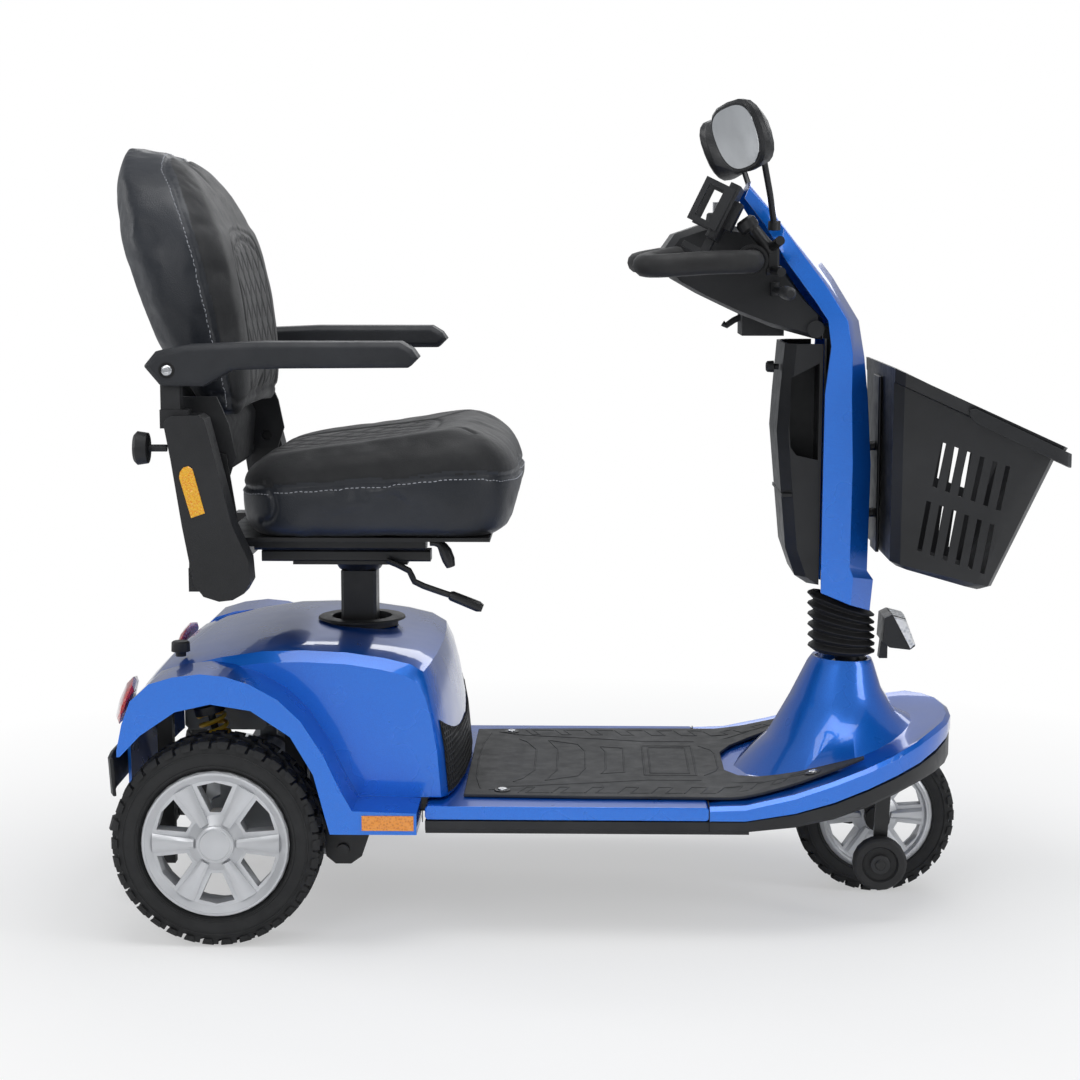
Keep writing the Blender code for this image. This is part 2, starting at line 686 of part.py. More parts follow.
ARCH_OUTLINE = [
    (-0.322, 0.100), (-0.322, 0.148), (-0.328, 0.170), (-0.342, 0.224), (-0.370, 0.272), (-0.419, 0.305), (-0.469, 0.313),
    (-0.513, 0.303), (-0.557, 0.273), (-0.583, 0.246), (-0.620, 0.240), (-0.620, 0.100),
]


def rear_hood():
    """Painted shell over the drive: a crowned centre and a flared fender over each wheel, open underneath."""
    shape_at = [(-HOOD_HALF, 0.020, 0.026), (-0.196, 0.007, 0.018), (-0.160, 0.003, 0.010), (-0.090, 0.001, 0.003),
                (0.0, 0.0, 0.0), (0.090, 0.001, 0.003), (0.160, 0.003, 0.010), (0.196, 0.007, 0.018), (HOOD_HALF, 0.020, 0.026)]

    def body(inset, bottom):
        rings = []
        outline = offset_outline(HOOD_OUTLINE, inset) if inset else HOOD_OUTLINE
        for y, drop, back in shape_at:
            ring = []
            for x, z in outline:
                front = max(0.0, (x + 0.30) / 0.138)
                rise = max(0.0, min(1.0, (z - 0.20) / 0.15))
                px = x - back * front + 0.3 * back * max(0.0, (-0.50 - x) / 0.1)
                pz = z - drop * rise if z > 0.18 + inset else bottom
                ring.append((px, y * (HOOD_HALF - inset) / HOOD_HALF, pz))
            rings.append(ring)
        return loft(rings)

    shapes = [body(0.0, 0.176)]
    cuts = [body(SHELL, 0.150)]
    for s in (1, -1):
        wide = sorted((s * 0.200, s * FENDER_HALF))
        shapes.append(plate(FENDER_OUTLINE, *wide))
        inner = [(x, z) if z > 0.16 else (x, 0.12) for x, z in offset_outline(FENDER_OUTLINE, SHELL)]
        cuts.append(plate(inner, *sorted((s * 0.190, s * (FENDER_HALF - SHELL)))))
        cuts.append(plate(ARCH_OUTLINE, *sorted((s * 0.185, s * 0.300))))
    cuts.append(rod((SEAT_POST_X + 0.002, 0, 0.34), (SEAT_POST_X + 0.002, 0, 0.40), 0.050, 28))
    merged("rear_hood", shapes, "blue_paint", cuts=cuts, sharp=30)


def post_bezel():
    """Black trim ring in the hood's top, round the seat post."""
    section = [(-0.006, 0.0405), (0.0, 0.0405), (0.006, 0.0405), (0.0068, 0.044), (0.0060, 0.058), (0.0030, 0.060),
               (0.0022, 0.0498), (-0.006, 0.0494)]
    ring = ring_solid(section, (SEAT_POST_X + 0.002, 0, 0.3705), (0, 0, 1), 28)
    make("post_bezel", ring.verts, ring.faces, "black_plastic")


def hood_details():
    """Tail lamps, tail valance and the latch knob."""
    def lamp(side, tag):
        ring_set = []
        for y, grow in ((0.150, 0.3), (0.170, 0.85), (0.200, 1.0), (0.230, 0.85), (0.245, 0.3)):
            back = 0.010 if y > 0.2 else 0.004
            mid_z = 0.300
            ring = []
            for k in range(8):
                t = 2 * math.pi * k / 8
                rise = 0.030 * math.sin(t) * grow
                ring.append((-0.5965 + back + 0.008 * math.cos(t) * grow + 0.35 * rise, side * y, mid_z + rise))
            ring_set.append(ring)
        body = loft(ring_set)
        make(f"tail_lamp_{tag}", body.verts, body.faces, "red_lens")

    both_sides(lamp)
    path = [(-0.598, -0.277), (-0.604, -0.262), (-0.6075, -0.230), (-0.6085, 0.0), (-0.6075, 0.230), (-0.604, 0.262), (-0.598, 0.277)]
    back_path = [(-0.594, -0.275), (-0.600, -0.260), (-0.6035, -0.228), (-0.6045, 0.0), (-0.6035, 0.228), (-0.600, 0.260), (-0.594, 0.275)]
    rings = []
    for (xo, yo), (xi, yi) in zip(path, back_path):
        rings.append([(xo, yo, 0.240), (xi, yi, 0.240), (xi + 0.003, yi, 0.192), (xo + 0.003, yo, 0.192)])
    wall = loft(rings)
    make("rear_valance", wall.verts, wall.faces, "black_plastic")
    knob = turned_solid([(0.0, 0.007), (0.006, 0.007), (0.0065, 0.0125), (0.018, 0.0120), (0.020, 0.010)], (-0.530, -0.150, 0.3475), (0, 0, 1), 16)
    make("hood_latch_knob", knob.verts, knob.faces, "black_plastic", (-0.530, -0.150, 0.3475))


# ---------------------------------------------------------------- steering


def steering_fork():
    """Stem, crown, two blades and axle of the front wheel; the stem's tongue carries the tiller's tilt pin."""
    shapes = [rod(steer_point(0.236), steer_point(0.352), 0.0166, 24)]
    px, pz = TILLER_PIVOT
    shapes.append(box(px - 0.012, px + 0.012, -0.011, 0.011, 0.338, pz + 0.010))
    shapes.append(rod((px, -0.026, pz), (px, 0.026, pz), 0.0070, 16))
    crown = [steer_point(0.232)[0] - 0.022, steer_point(0.232)[0] + 0.022]
    shapes.append(box(crown[0], crown[1], -0.048, 0.048, 0.2265, 0.2395, 0.003))
    ax, az = FRONT_AXLE
    for s in (1, -1):
        inner = sorted((s * 0.0395, s * 0.0465))
        blade = [(crown[0] + 0.004, 0.238), (ax - 0.014, az - 0.004), (ax - 0.008, az - 0.013), (ax + 0.008, az - 0.013),
                 (ax + 0.014, az - 0.004), (crown[1] - 0.002, 0.238)]
        shapes.append(plate(blade, *inner))
        shapes.append(rod((ax, s * 0.034, az), (ax, s * 0.050, az), 0.017, 20))
    shapes.append(rod((ax, -0.045, az), (ax, 0.045, az), 0.010, 16))
    merged("steering_fork", shapes, "black_steel", pivot=steer_point(0.372))


def steering_bellows():
    """Ribbed rubber gaiter between the cone and the tiller covers."""
    rings = []
    folds = 6
    steps = 2 * folds
    for i in range(steps + 1):
        f = i / steps
        radius = 0.0420 + 0.0050 * math.cos(2 * math.pi * (f * folds + 0.5))
        cx, cz, tilt = 0.3445 - 0.002 * f, 0.3285 + 0.073 * f, 0.05 + 0.31 * f
        rings.append([(cx + radius * math.cos(t), radius * math.sin(t), cz - tilt * radius * math.cos(t))
                      for t in [2 * math.pi * k / 18 for k in range(18)]])
    for f in (1.0, 0.5, 0.0):
        radius = 0.033
        cx, cz, tilt = 0.3445 - 0.002 * f, 0.3285 + 0.073 * f, 0.05 + 0.31 * f
        rings.append([(cx + radius * math.cos(t), radius * math.sin(t), cz - tilt * radius * math.cos(t))
                      for t in [2 * math.pi * k / 18 for k in range(18)]])
    tube = loop_loft(rings)
    make("steering_bellows", tube.verts, tube.faces, "black_rubber", steer_point(0.372))


def headlight():
    """Small lamp on a bracket in front of the gaiter."""
    outline = [(0.3960, 0.3470), (0.3980, 0.3800), (0.4080, 0.3850), (0.4260, 0.3800), (0.4400, 0.3420), (0.4330, 0.3370), (0.4060, 0.3400)]
    body = plate(outline, -0.031, 0.031)
    foot = plate([(0.3945, 0.3215), (0.3975, 0.3500), (0.4060, 0.3500), (0.4060, 0.3215)], -0.010, 0.010)
    merged("headlight", [body, foot], "black_plastic")


COVER_STATIONS = [
    # rear x, rear z, front x, front z, half width
    (0.3065, 0.422, 0.3755, 0.3935, 0.080),
    (0.3060, 0.455, 0.3790, 0.4360, 0.083),
    (0.3060, 0.470, 0.3705, 0.4480, 0.084),
    (0.3055, 0.600, 0.3720, 0.5900, 0.092),
    (0.3055, 0.686, 0.3660, 0.6780, 0.098),
    (0.3120, 0.747, 0.3600, 0.7310, 0.104),
    (0.3070, 0.781, 0.3510, 0.7800, 0.108),
    (0.2900, 0.806, 0.3160, 0.8360, 0.110),
    (0.2530, 0.856, 0.2830, 0.8790, 0.104),
    (0.2250, 0.904, 0.2430, 0.9280, 0.088),
    (0.2010, 0.938, 0.2110, 0.9600, 0.060),
]


def tiller_front_cover():
    """Blue faceted shield and column front, a shell open towards the rider."""
    rings = []
    for xr, zr, xf, zf, w in COVER_STATIONS:
        def at(x, y):
            f = (x - xr) / (xf - xr)
            return (x, y, zr + (zf - zr) * f)

        depth = xf - xr
        side = xf - 0.42 * depth
        outer = [(xr, -w), (side, -w), (xf, -0.62 * w), (xf, 0.62 * w), (side, w), (xr, w)]
        t = 0.0035
        inner = [(xr, w - t), (side - 0.3 * t, w - t), (xf - 1.3 * t, 0.62 * w - 0.6 * t)]
        inner += [(x, -y) for x, y in inner[::-1]]
        rings.append([at(x, y) for x, y in outer + inner])
    shell = loft(rings)
    make("tiller_front_cover", shell.verts, shell.faces, "blue_paint", (TILLER_PIVOT[0], 0, TILLER_PIVOT[1]), sharp=12)


def tiller_rear_cover():
    """Black rear half of the column with an open storage bin."""
    back = [(0.2560, 0.7500), (0.2500, 0.6810), (0.2470, 0.6350), (0.2500, 0.6000), (0.2530, 0.5660), (0.2610, 0.4790), (0.2740, 0.4400), (0.2900, 0.4270)]
    rings = []
    for x, z in back[::-1]:
        w = 0.070 + 0.012 * (z - 0.42) / 0.33
        xf = 0.3045
        t = 0.0035
        rise = 0.0 if z > 0.45 else (0.45 - z) * 0.2
        outer = [(xf, -w), (x + 0.014, -w), (x, -w + 0.018), (x, w - 0.018), (x + 0.014, w), (xf, w)]
        inner = [(xf, w - t), (x + 0.016, w - t), (x + t, w - 0.020), (x + t, -w + 0.020), (x + 0.016, -w + t), (xf, -w + t)]
        rings.append([(px, py, z + rise) for px, py in outer + inner])
    shell = loft(rings)
    tray = box(0.2535, 0.3045, -0.0735, 0.0735, 0.5490, 0.5530)
    front = box(0.3005, 0.3045, -0.0735, 0.0735, 0.5490, 0.7400)
    duct = plate([(0.2540, 0.5510), (0.2490, 0.6400), (0.2520, 0.6900), (0.2575, 0.7380), (0.3040, 0.7380), (0.3040, 0.5510)], -0.012, 0.012)
    outline = [(0.2620, 0.6400), (0.2640, 0.6150), (0.2720, 0.6040), (0.3000, 0.5980), (0.3000, 0.7250), (0.2640, 0.7060)]
    windows = [plate(outline, -0.10, -0.0122), plate(outline, 0.0122, 0.10)]
    pivot = (TILLER_PIVOT[0], 0, TILLER_PIVOT[1])
    merged("tiller_rear_cover", [shell, tray, front, duct], "black_plastic", pivot, cuts=windows)


def tiller_mast():
    """Steel mast inside the covers, with a clevis round the stem's tilt pin and a shelf for the console."""
    px, pz = TILLER_PIVOT
    shapes = [box(0.316, 0.342, -0.016, 0.016, 0.425, 0.7660, 0.003)]
    shapes.append(box(0.322, 0.358, -0.0190, 0.0190, 0.400, 0.430))
    for s in (1, -1):
        ear = sorted((s * 0.0120, s * 0.0190))
        shapes.append(plate([(px - 0.014, pz - 0.006), (px - 0.006, pz - 0.014), (px + 0.006, pz - 0.014),
                             (px + 0.013, pz - 0.006), (px + 0.012, 0.410), (px - 0.018, 0.410)], *ear))
    shapes.append(box(0.306, 0.335, -0.060, 0.060, 0.7560, 0.7720))
    bore = rod((px, -0.03, pz), (px, 0.03, pz), 0.0076, 16)
    merged("tiller_mast", shapes, "black_steel", pivot=(px, 0, pz), cuts=[bore])


CONSOLE_HALF = 0.098


def console():
    """Black dashboard body with the hinge caps, the box below and the bag hook."""
    outline = [(0.0960, 0.8720), (0.0980, 0.8480), (0.1100, 0.8320), (0.1450, 0.8120), (0.1900, 0.7905), (0.2350, 0.7725), (0.2900, 0.7575),
               (0.3020, 0.7560), (0.3020, 0.7830), (0.2820, 0.8040), (0.2480, 0.8500), (0.2160, 0.8960), (0.1800, 0.9030), (0.1450, 0.9040), (0.1100, 0.8920)]
    inner = [(0.1060, 0.8660), (0.1110, 0.8500), (0.1480, 0.8230), (0.1930, 0.8010), (0.2380, 0.7830), (0.2900, 0.7660), (0.2760, 0.7960),
             (0.2420, 0.8450), (0.2130, 0.8870), (0.1790, 0.8960), (0.1450, 0.8965), (0.1140, 0.8860)]
    narrow = [(0.200 + 0.93 * (x - 0.200), 0.830 + 0.90 * (z - 0.830)) for x, z in outline]
    shapes = [loft([[(x, y, z) for x, z in (narrow if abs(y) > 0.09 else outline)]
                    for y in (-CONSOLE_HALF, -0.086, 0.086, CONSOLE_HALF)])]
    for s in (1, -1):
        shapes.append(rod((0.2920, s * 0.0713, 0.7700), (0.2920, s * 0.1021, 0.7700), 0.0112, 18))
    shapes.append(box(0.2010, 0.2560, -0.045, 0.045, 0.7590, 0.7900))
    hook = [(0.2080, 0, 0.7850), (0.1930, 0, 0.7780), (0.1830, 0, 0.7710), (0.1780, 0, 0.7740)]
    shapes.append(swept(hook, 0.0042, 8))
    hollow = [plate(inner, -0.085, 0.085)]
    hollow.append(box(0.2700, 0.3300, -0.066, 0.066, 0.7480, 0.8000))
    pivot = (TILLER_PIVOT[0], 0, TILLER_PIVOT[1])
    merged("console", shapes, "black_plastic", pivot=pivot, cuts=hollow)


def handle_loop(side, tag):
    """Padded hand loop on each side of the console."""
    start = CONSOLE_HALF + GAP
    points = [(0.207, start, 0.858), (0.206, 0.140, 0.858), (0.202, 0.190, 0.857), (0.182, 0.226, 0.857), (0.145, 0.238, 0.856),
              (0.100, 0.239, 0.853), (0.074, 0.222, 0.852), (0.068, 0.185, 0.853), (0.080, 0.140, 0.856), (0.113, start, 0.862)]
    path = smooth_path([(x, side * y, z) for x, y, z in points], 2)
    path[0].y = path[-1].y = side * start
    radii = [0.0145] * len(path)
    loop = swept(path, radii, 12)
    merged(f"handle_loop_{tag}", [loop], "black_rubber", pivot=(TILLER_PIVOT[0], 0, TILLER_PIVOT[1]), sharp=50,
           cuts=[box(0.0, 0.3, *sorted((0.0, side * start)), 0.8, 0.95)])


def throttle_lever(side, tag):
    """Finger lever below the hand loop."""
    root = (0.238, side * 0.1052, 0.8215)
    tip = (0.244, side * 0.185, 0.8190)
    reach = (0.2442, side * 0.190, 0.8188)
    shapes = [rod((0.238, side * 0.1055, 0.8130), (0.238, side * 0.1055, 0.8300), 0.0065, 14)]
    shapes.append(rod((0.2381, side * 0.1058, 0.8215), reach, 0.0045, 10))
    shapes.append(turned_solid([(0, 0.0060), (0.004, 0.0085), (0.034, 0.0085), (0.041, 0.0050)], tip, Vector(tip) - Vector(root), 14))
    merged(f"throttle_lever_{tag}", shapes, "black_rubber", pivot=root)


def dash_controls():
    key = [turned_solid([(0, 0.0065), (0.006, 0.0060), (0.0065, 0.0035), (0.012, 0.0035)], (0.170, -0.050, 0.9046), (0, 0, 1), 14)]
    key.append(box(0.1605, 0.1795, -0.0515, -0.0485, 0.9130, 0.9330, 0.001))
    merged("ignition_key", key, "steel", pivot=(0.170, -0.050, 0.9046))
    dial = turned_solid([(0, 0.016), (0.003, 0.017), (0.004, 0.0135), (0.014, 0.0120), (0.016, 0.0100)], (0.170, 0.050, 0.9046), (0, 0, 1), 20)
    make("speed_dial", dial.verts, dial.faces, "black_plastic", (0.170, 0.050, 0.9046))
    knob = turned_solid([(0, 0.004), (0.006, 0.004), (0.0065, 0.0080), (0.015, 0.0075), (0.017, 0.0050)], (0.2510, -0.030, 0.7180), (-1, 0, 0), 14)
    make("tilt_release_knob", knob.verts, knob.faces, "black_plastic", (0.2510, -0.030, 0.7180))


MIRROR_BALL = (0.2150, 0.182, 0.9860)
MIRROR_TOE = math.radians(24)


def mirror(side, tag):
    """Stalk and head; the flat face looks back to the rider."""
    foot = (0.2360, side * 0.1080, 0.9020)
    ball = (MIRROR_BALL[0], side * MIRROR_BALL[1], MIRROR_BALL[2])
    knee = (0.2270, side * 0.1430, 0.9420)
    stalk = swept([foot, knee, ball], 0.0042, 8)
    boss = rod((0.2360, side * 0.1080, 0.8960), (0.2360, side * 0.1085, 0.9080), 0.0080, 12)
    centre = Vector((0.1810, side * 0.192, 1.0090))
    up = Vector((-0.34, 0, 0.94)).normalized()
    across = Matrix.Rotation(-side * MIRROR_TOE, 3, up) @ Vector((0, 1, 0))
    outward = up.cross(across)
    if outward.x < 0:
        outward = -outward
    half_h, half_w = 0.0445, 0.062
    rings = []
    for depth, scale, drop in ((0.0, 0.93, 0.0), (0.003, 1.0, 0.0), (0.010, 0.98, 0.001), (0.022, 0.78, 0.008), (0.030, 0.45, 0.014), (0.033, 0.16, 0.018)):
        ring = []
        for k in range(20):
            t = 2 * math.pi * k / 20
            wide = half_w * math.copysign(abs(math.cos(t)) ** 0.7, math.cos(t))
            tall = half_h * math.copysign(abs(math.sin(t)) ** 0.8, math.sin(t))
            wide *= 1.0 + 0.10 * math.sin(t)
            ring.append(tuple(centre + across * wide * scale + up * (tall * scale - drop) + outward * depth))
        rings.append(ring)
    head = loft(rings)
    merged(f"mirror_{tag}", [head, stalk, boss], "black_plastic", pivot=foot, sharp=45)


def phone_holder():
    """Clamp and arm on the right hand loop, with a tilting cradle."""
    at = Vector((0.2062, -0.140, 0.8580))
    clamp = ring_solid([(-0.010, 0.0164), (-0.010, 0.0205), (0.010, 0.0205), (0.010, 0.0164)], at, (0.05, 1, 0), 20)
    shapes = [clamp]
    shapes.append(box(0.2240, 0.2430, -0.149, -0.131, 0.8400, 0.8510, 0.003))
    shapes.append(box(0.2236, 0.2400, -0.147, -0.133, 0.8480, 0.8800, 0.003))
    shapes.append(rod((0.2300, -0.140, 0.8700), (0.2050, -0.149, 0.8990), 0.0085, 12))
    shapes.append(rod((0.2310, -0.140, 0.8460), (0.2400, -0.180, 0.8440), 0.0060, 10))
    shapes.append(rod((0.2300, -0.140, 0.8740), (0.2380, -0.178, 0.8830), 0.0062, 10))
    shapes.append(turned_solid([(0, 0.010), (0.004, 0.0135), (0.014, 0.0135), (0.018, 0.010)], (0.2040, -0.152, 0.8950), (-0.55, 0.1, 0.8), 14))
    merged("phone_arm", shapes, "black_plastic", pivot=(0.205, -0.149, 0.898))
    parts = [box(-0.007, 0.007, -0.036, 0.036, -0.036, 0.037, 0.003)]
    parts.append(box(0.0052, 0.0170, -0.0200, 0.0210, -0.0180, 0.0190))
    windows = []
    for s in (1, -1):
        parts.append(box(-0.0362, 0.0033, *sorted((s * 0.0437, s * 0.0349)), -0.0265, 0.0303))
        windows.append(box(-0.0290, -0.0093, *sorted((s * 0.0600, s * 0.0300)), -0.0192, 0.0231))
    parts.append(box(-0.0061, 0.0041, -0.0121, 0.0117, -0.0563, -0.0305))
    parts.append(box(-0.0303, 0.0037, -0.0113, 0.0109, -0.0601, -0.0522))
    place = Matrix.Translation((0.170, -0.150, 0.9170)) @ Matrix.Rotation(math.radians(26), 4, "Y")
    place = place @ Matrix.Rotation(math.radians(-8), 4, "Z")
    parts = [p.moved(place) for p in parts]
    windows = [w.moved(place) for w in windows]
    merged("phone_cradle", parts, "black_plastic", pivot=(0.190, -0.150, 0.912), cuts=windows)


def basket_set():
    """Front bracket on the column, lift-off basket and its folding handle."""
    shapes = [box(0.3840, 0.3885, -0.030, 0.030, 0.4700, 0.7050, 0.0015)]
    for z in (0.610, 0.520):
        shapes.append(rod((0.3726, 0, z), (0.3860, 0, z), 0.0065, 12))
    shapes.append(box(0.3726, 0.3745, -0.018, 0.018, 0.500, 0.620))
    merged("basket_bracket", shapes, "black_steel", pivot=(TILLER_PIVOT[0], 0, TILLER_PIVOT[1]))
    back = 0.3890
    low = [(back + 0.003, 0.462), (0.524, 0.430)]
    high = [(back, 0.722), (0.605, 0.620)]

    def ring(f, shrink, lip=0.0):
        x0 = low[0][0] + (high[0][0] - low[0][0]) * f + shrink - lip * 0.0
        x1 = low[1][0] + (high[1][0] - low[1][0]) * f - shrink + lip
        w = 0.122 + (0.150 - 0.122) * f - shrink + lip
        z0 = low[0][1] + (high[0][1] - low[0][1]) * f
        z1 = low[1][1] + (high[1][1] - low[1][1]) * f
        c = 0.024
        flat = [(x0, -w + 0.012), (x0 + 0.012, -w), (x1 - c, -w), (x1 - 0.3 * c, -w + 0.3 * c), (x1, -w + c),
                (x1, w - c), (x1 - 0.3 * c, w - 0.3 * c), (x1 - c, w), (x0 + 0.012, w), (x0, w - 0.012)]
        return [(x, y, z0 + (z1 - z0) * (x - x0) / (x1 - x0)) for x, y in flat]

    wall = 0.003
    rings = [
        ring(0.0, 0.010), ring(0.03, 0.0), ring(0.5, 0.0), ring(0.93, 0.0), ring(0.935, 0.0, 0.006), ring(1.0, 0.0, 0.008),
        ring(1.0, wall), ring(0.5, wall), ring(0.04, wall), ring(0.02, 0.012),
    ]
    tub = loft(rings)
    obj = make("basket", tub.verts, tub.faces, "black_plastic", (back, 0, 0.6))
    slots = Shape()
    for row, (f0, f1) in enumerate(((0.570, 0.628), (0.480, 0.546))):
        for i in range(6):
            lean = 0.0095
            x0 = 0.441 + 0.0164 * i - 0.016 * row
            drop = 0.36 * (x0 - 0.441)
            za, zb = f0 - drop, f1 - drop
            outline = [(x0, za), (x0 + 0.0060, za - 0.002), (x0 + 0.0060 + lean, zb - 0.002), (x0 + lean, zb)]
            for s in (1, -1):
                piece = plate(outline, *sorted((s * 0.100, s * 0.170)))
                start = len(slots.verts)
                slots.verts += piece.verts
                slots.faces += [tuple(start + v for v in f) for f in piece.faces]
    cutter = make("basket_slots", slots.verts, slots.faces, "black_plastic", cutter=True)
    add_boolean(obj, cutter, "DIFFERENCE")
    pivot_x, pivot_z = 0.492, 0.6620
    half = [(0.482, 0.1614), (0.490, 0.1614), (0.550, 0.1614), (0.590, 0.1614), (0.607, 0.1560), (0.6150, 0.1400), (0.6165, 0.1200)]
    path = half + [(x, -y) for x, y in half[::-1]]
    rings = []
    for i, (x, y) in enumerate(path):
        ahead, behind = path[min(i + 1, len(path) - 1)], path[max(i - 1, 0)]
        out = Vector((behind[1] - ahead[1], ahead[0] - behind[0], 0)).normalized() * 0.0019
        middle = Vector((x, y, 0.667 - 0.472 * (x - 0.482)))
        tall = 0.0040 if i in (0, len(path) - 1) else 0.0090
        rings.append([middle + out + Vector((0, 0, tall)), middle - out + Vector((0, 0, tall)),
                      middle - out - Vector((0, 0, tall)), middle + out - Vector((0, 0, tall))])
    bar = loft(rings)
    merged("basket_handle", [bar], "black_plastic", pivot=(pivot_x, 0, pivot_z))


# ---------------------------------------------------------------- seat


def seat_supports():
    """Telescoping post, swivel with the lower rails, and the sliding pan with the arm tube and back hinges."""
    post = [rod((SEAT_POST_X, 0, 0.215), (SEAT_POST_X, 0, 0.4460), 0.0195, 24)]
    post.append(turned_solid([(0, 0.028), (0.010, 0.034)], (SEAT_POST_X, 0, 0.4418), (0, 0, 1), 24))
    merged("seat_post", post, "black_steel", pivot=(SEAT_POST_X, 0, 0.44))
    swivel = [turned_solid([(0, 0.034), (0.008, 0.034), (0.013, 0.042)], (SEAT_POST_X, 0, 0.4522), (0, 0, 1), 24)]
    swivel.append(box(SEAT_POST_X - 0.075, SEAT_POST_X + 0.075, -0.120, 0.120, 0.4640, 0.4690))
    for s in (1, -1):
        y0, y1 = sorted((s * 0.092, s * 0.120))
        swivel.append(box(-0.427, -0.206, y0, y1, 0.4680, 0.4830, 0.002))
    merged("seat_swivel", swivel, "black_steel", pivot=(SEAT_POST_X, 0, 0.4522))
    pan = [box(-0.470, -0.125, -0.195, 0.195, 0.5045, 0.5095)]
    for s in (1, -1):
        y0, y1 = sorted((s * 0.088, s * 0.124))
        pan.append(box(-0.436, -0.212, y0, y1, 0.4834, 0.5060, 0.003))
        cheek = sorted((s * 0.2265, s * 0.2305))
        pan.append(plate([(-0.502, 0.470), (-0.440, 0.470), (-0.440, 0.540), (-0.452, 0.618), (-0.466, 0.622), (-0.482, 0.612), (-0.500, 0.540)], *cheek))
        pan.append(rod((BACK_FOLD[0], s * 0.2185, BACK_FOLD[1]), (BACK_FOLD[0], s * 0.2340, BACK_FOLD[1]), 0.0070, 14))
        pan.append(box(-0.470, -0.442, *sorted((s * 0.190, s * 0.229)), 0.5030, 0.5085))
        pan.append(box(-0.4965, -0.466, y0, y1, 0.4740, 0.5060))
        pan.append(box(-0.472, -0.434, y0, y1, 0.4880, 0.5060))
    pan.append(box(-0.5030, -0.4730, -0.2290, 0.2290, 0.4450, 0.4750))
    bore = box(-0.4977, -0.4783, -0.260, 0.260, 0.4503, 0.4697)
    merged("seat_pan", pan, "black_steel", cuts=[bore])


def superellipse(half_x, half_y, power, count):
    ring = []
    for k in range(count):
        t = 2 * math.pi * k / count
        c, s = math.cos(t), math.sin(t)
        ring.append((half_x * math.copysign(abs(c) ** (2 / power), c), half_y * math.copysign(abs(s) ** (2 / power), s)))
    return ring


def seat_cushion():
    """Contoured cushion as one closed solid."""
    cx, half_x, bottom = -0.2720, 0.1860, 0.5100
    rings = []
    for f, size in ((0.0, 0.90), (0.06, 0.965), (0.30, 1.0), (0.58, 1.0), (0.80, 0.975), (0.93, 0.90), (1.0, 0.76), (1.0, 0.35)):
        ring = []
        for x, y in superellipse(half_x * size, SEAT_HALF * size, 5.0, 40):
            px = cx + x
            crown = 0.612 + 0.036 * min(1.0, max(0.0, (px + 0.44) / 0.27)) - 0.012 * max(0.0, (px + 0.135) / 0.045)
            dish = 0.010 * (1 - min(1.0, abs(y) / 0.16)) * (1.0 if f >= 1.0 else 0.0)
            ring.append((px, y, bottom + (crown - dish - bottom) * f))
        rings.append(ring)
    body = loft(rings)
    make("seat_cushion", body.verts, body.faces, "seat_vinyl", sharp=50)


BACK_SPINE = [
    # z, front x, rear x, half width
    (0.655, -0.452, -0.478, 0.150),
    (0.668, -0.444, -0.492, 0.176),
    (0.705, -0.441, -0.515, 0.192),
    (0.750, -0.442, -0.549, 0.203),
    (0.810, -0.449, -0.573, 0.210),
    (0.870, -0.462, -0.594, 0.206),
    (0.920, -0.480, -0.606, 0.190),
    (0.960, -0.502, -0.612, 0.158),
    (0.988, -0.526, -0.611, 0.112),
    (1.004, -0.552, -0.606, 0.060),
]


def seat_back():
    """Back pad, and the moulded shell and hinge arms behind and below it."""
    rings = []
    for z, front, rear, half in BACK_SPINE:
        middle, deep = (front + rear) / 2, (front - rear) / 2
        ring = []
        for x, y in superellipse(deep, half, 3.4, 28):
            wing = 0.012 * (abs(y) / half) ** 2 if x > 0 else -0.006 * (abs(y) / half) ** 2
            ring.append((middle + x - (0.020 if x < 0 else 0.0) * 0 + wing, y, z + (0.012 * (-x / deep) if z > 0.9 else 0.0)))
        rings.append(ring)
    pad = loft(rings)
    make("seat_back_pad", pad.verts, pad.faces, "seat_vinyl", (BACK_FOLD[0], 0, BACK_FOLD[1]), sharp=50)
    shapes = []
    for s in (1, -1):
        y0, y1 = sorted((s * 0.2135, s * 0.2190))
        arm = [(-0.484, 0.585), (-0.452, 0.585), (-0.442, 0.615), (-0.450, 0.655), (-0.4650, 0.690), (-0.515, 0.690), (-0.508, 0.650)]
        shapes.append(plate(arm, y0, y1))
    low = [(-0.5160, 0.600), (-0.4960, 0.570), (-0.4880, 0.578), (-0.4830, 0.640), (-0.4985, 0.6700), (-0.5240, 0.700), (-0.5280, 0.660)]
    shapes.append(plate(low, -0.2140, 0.2140))
    cuts = [rod((BACK_FOLD[0], s * 0.205, BACK_FOLD[1]), (BACK_FOLD[0], s * 0.225, BACK_FOLD[1]), 0.0075, 14) for s in (1, -1)]
    merged("seat_back_frame", shapes, "black_plastic", pivot=(BACK_FOLD[0], 0, BACK_FOLD[1]), cuts=cuts)


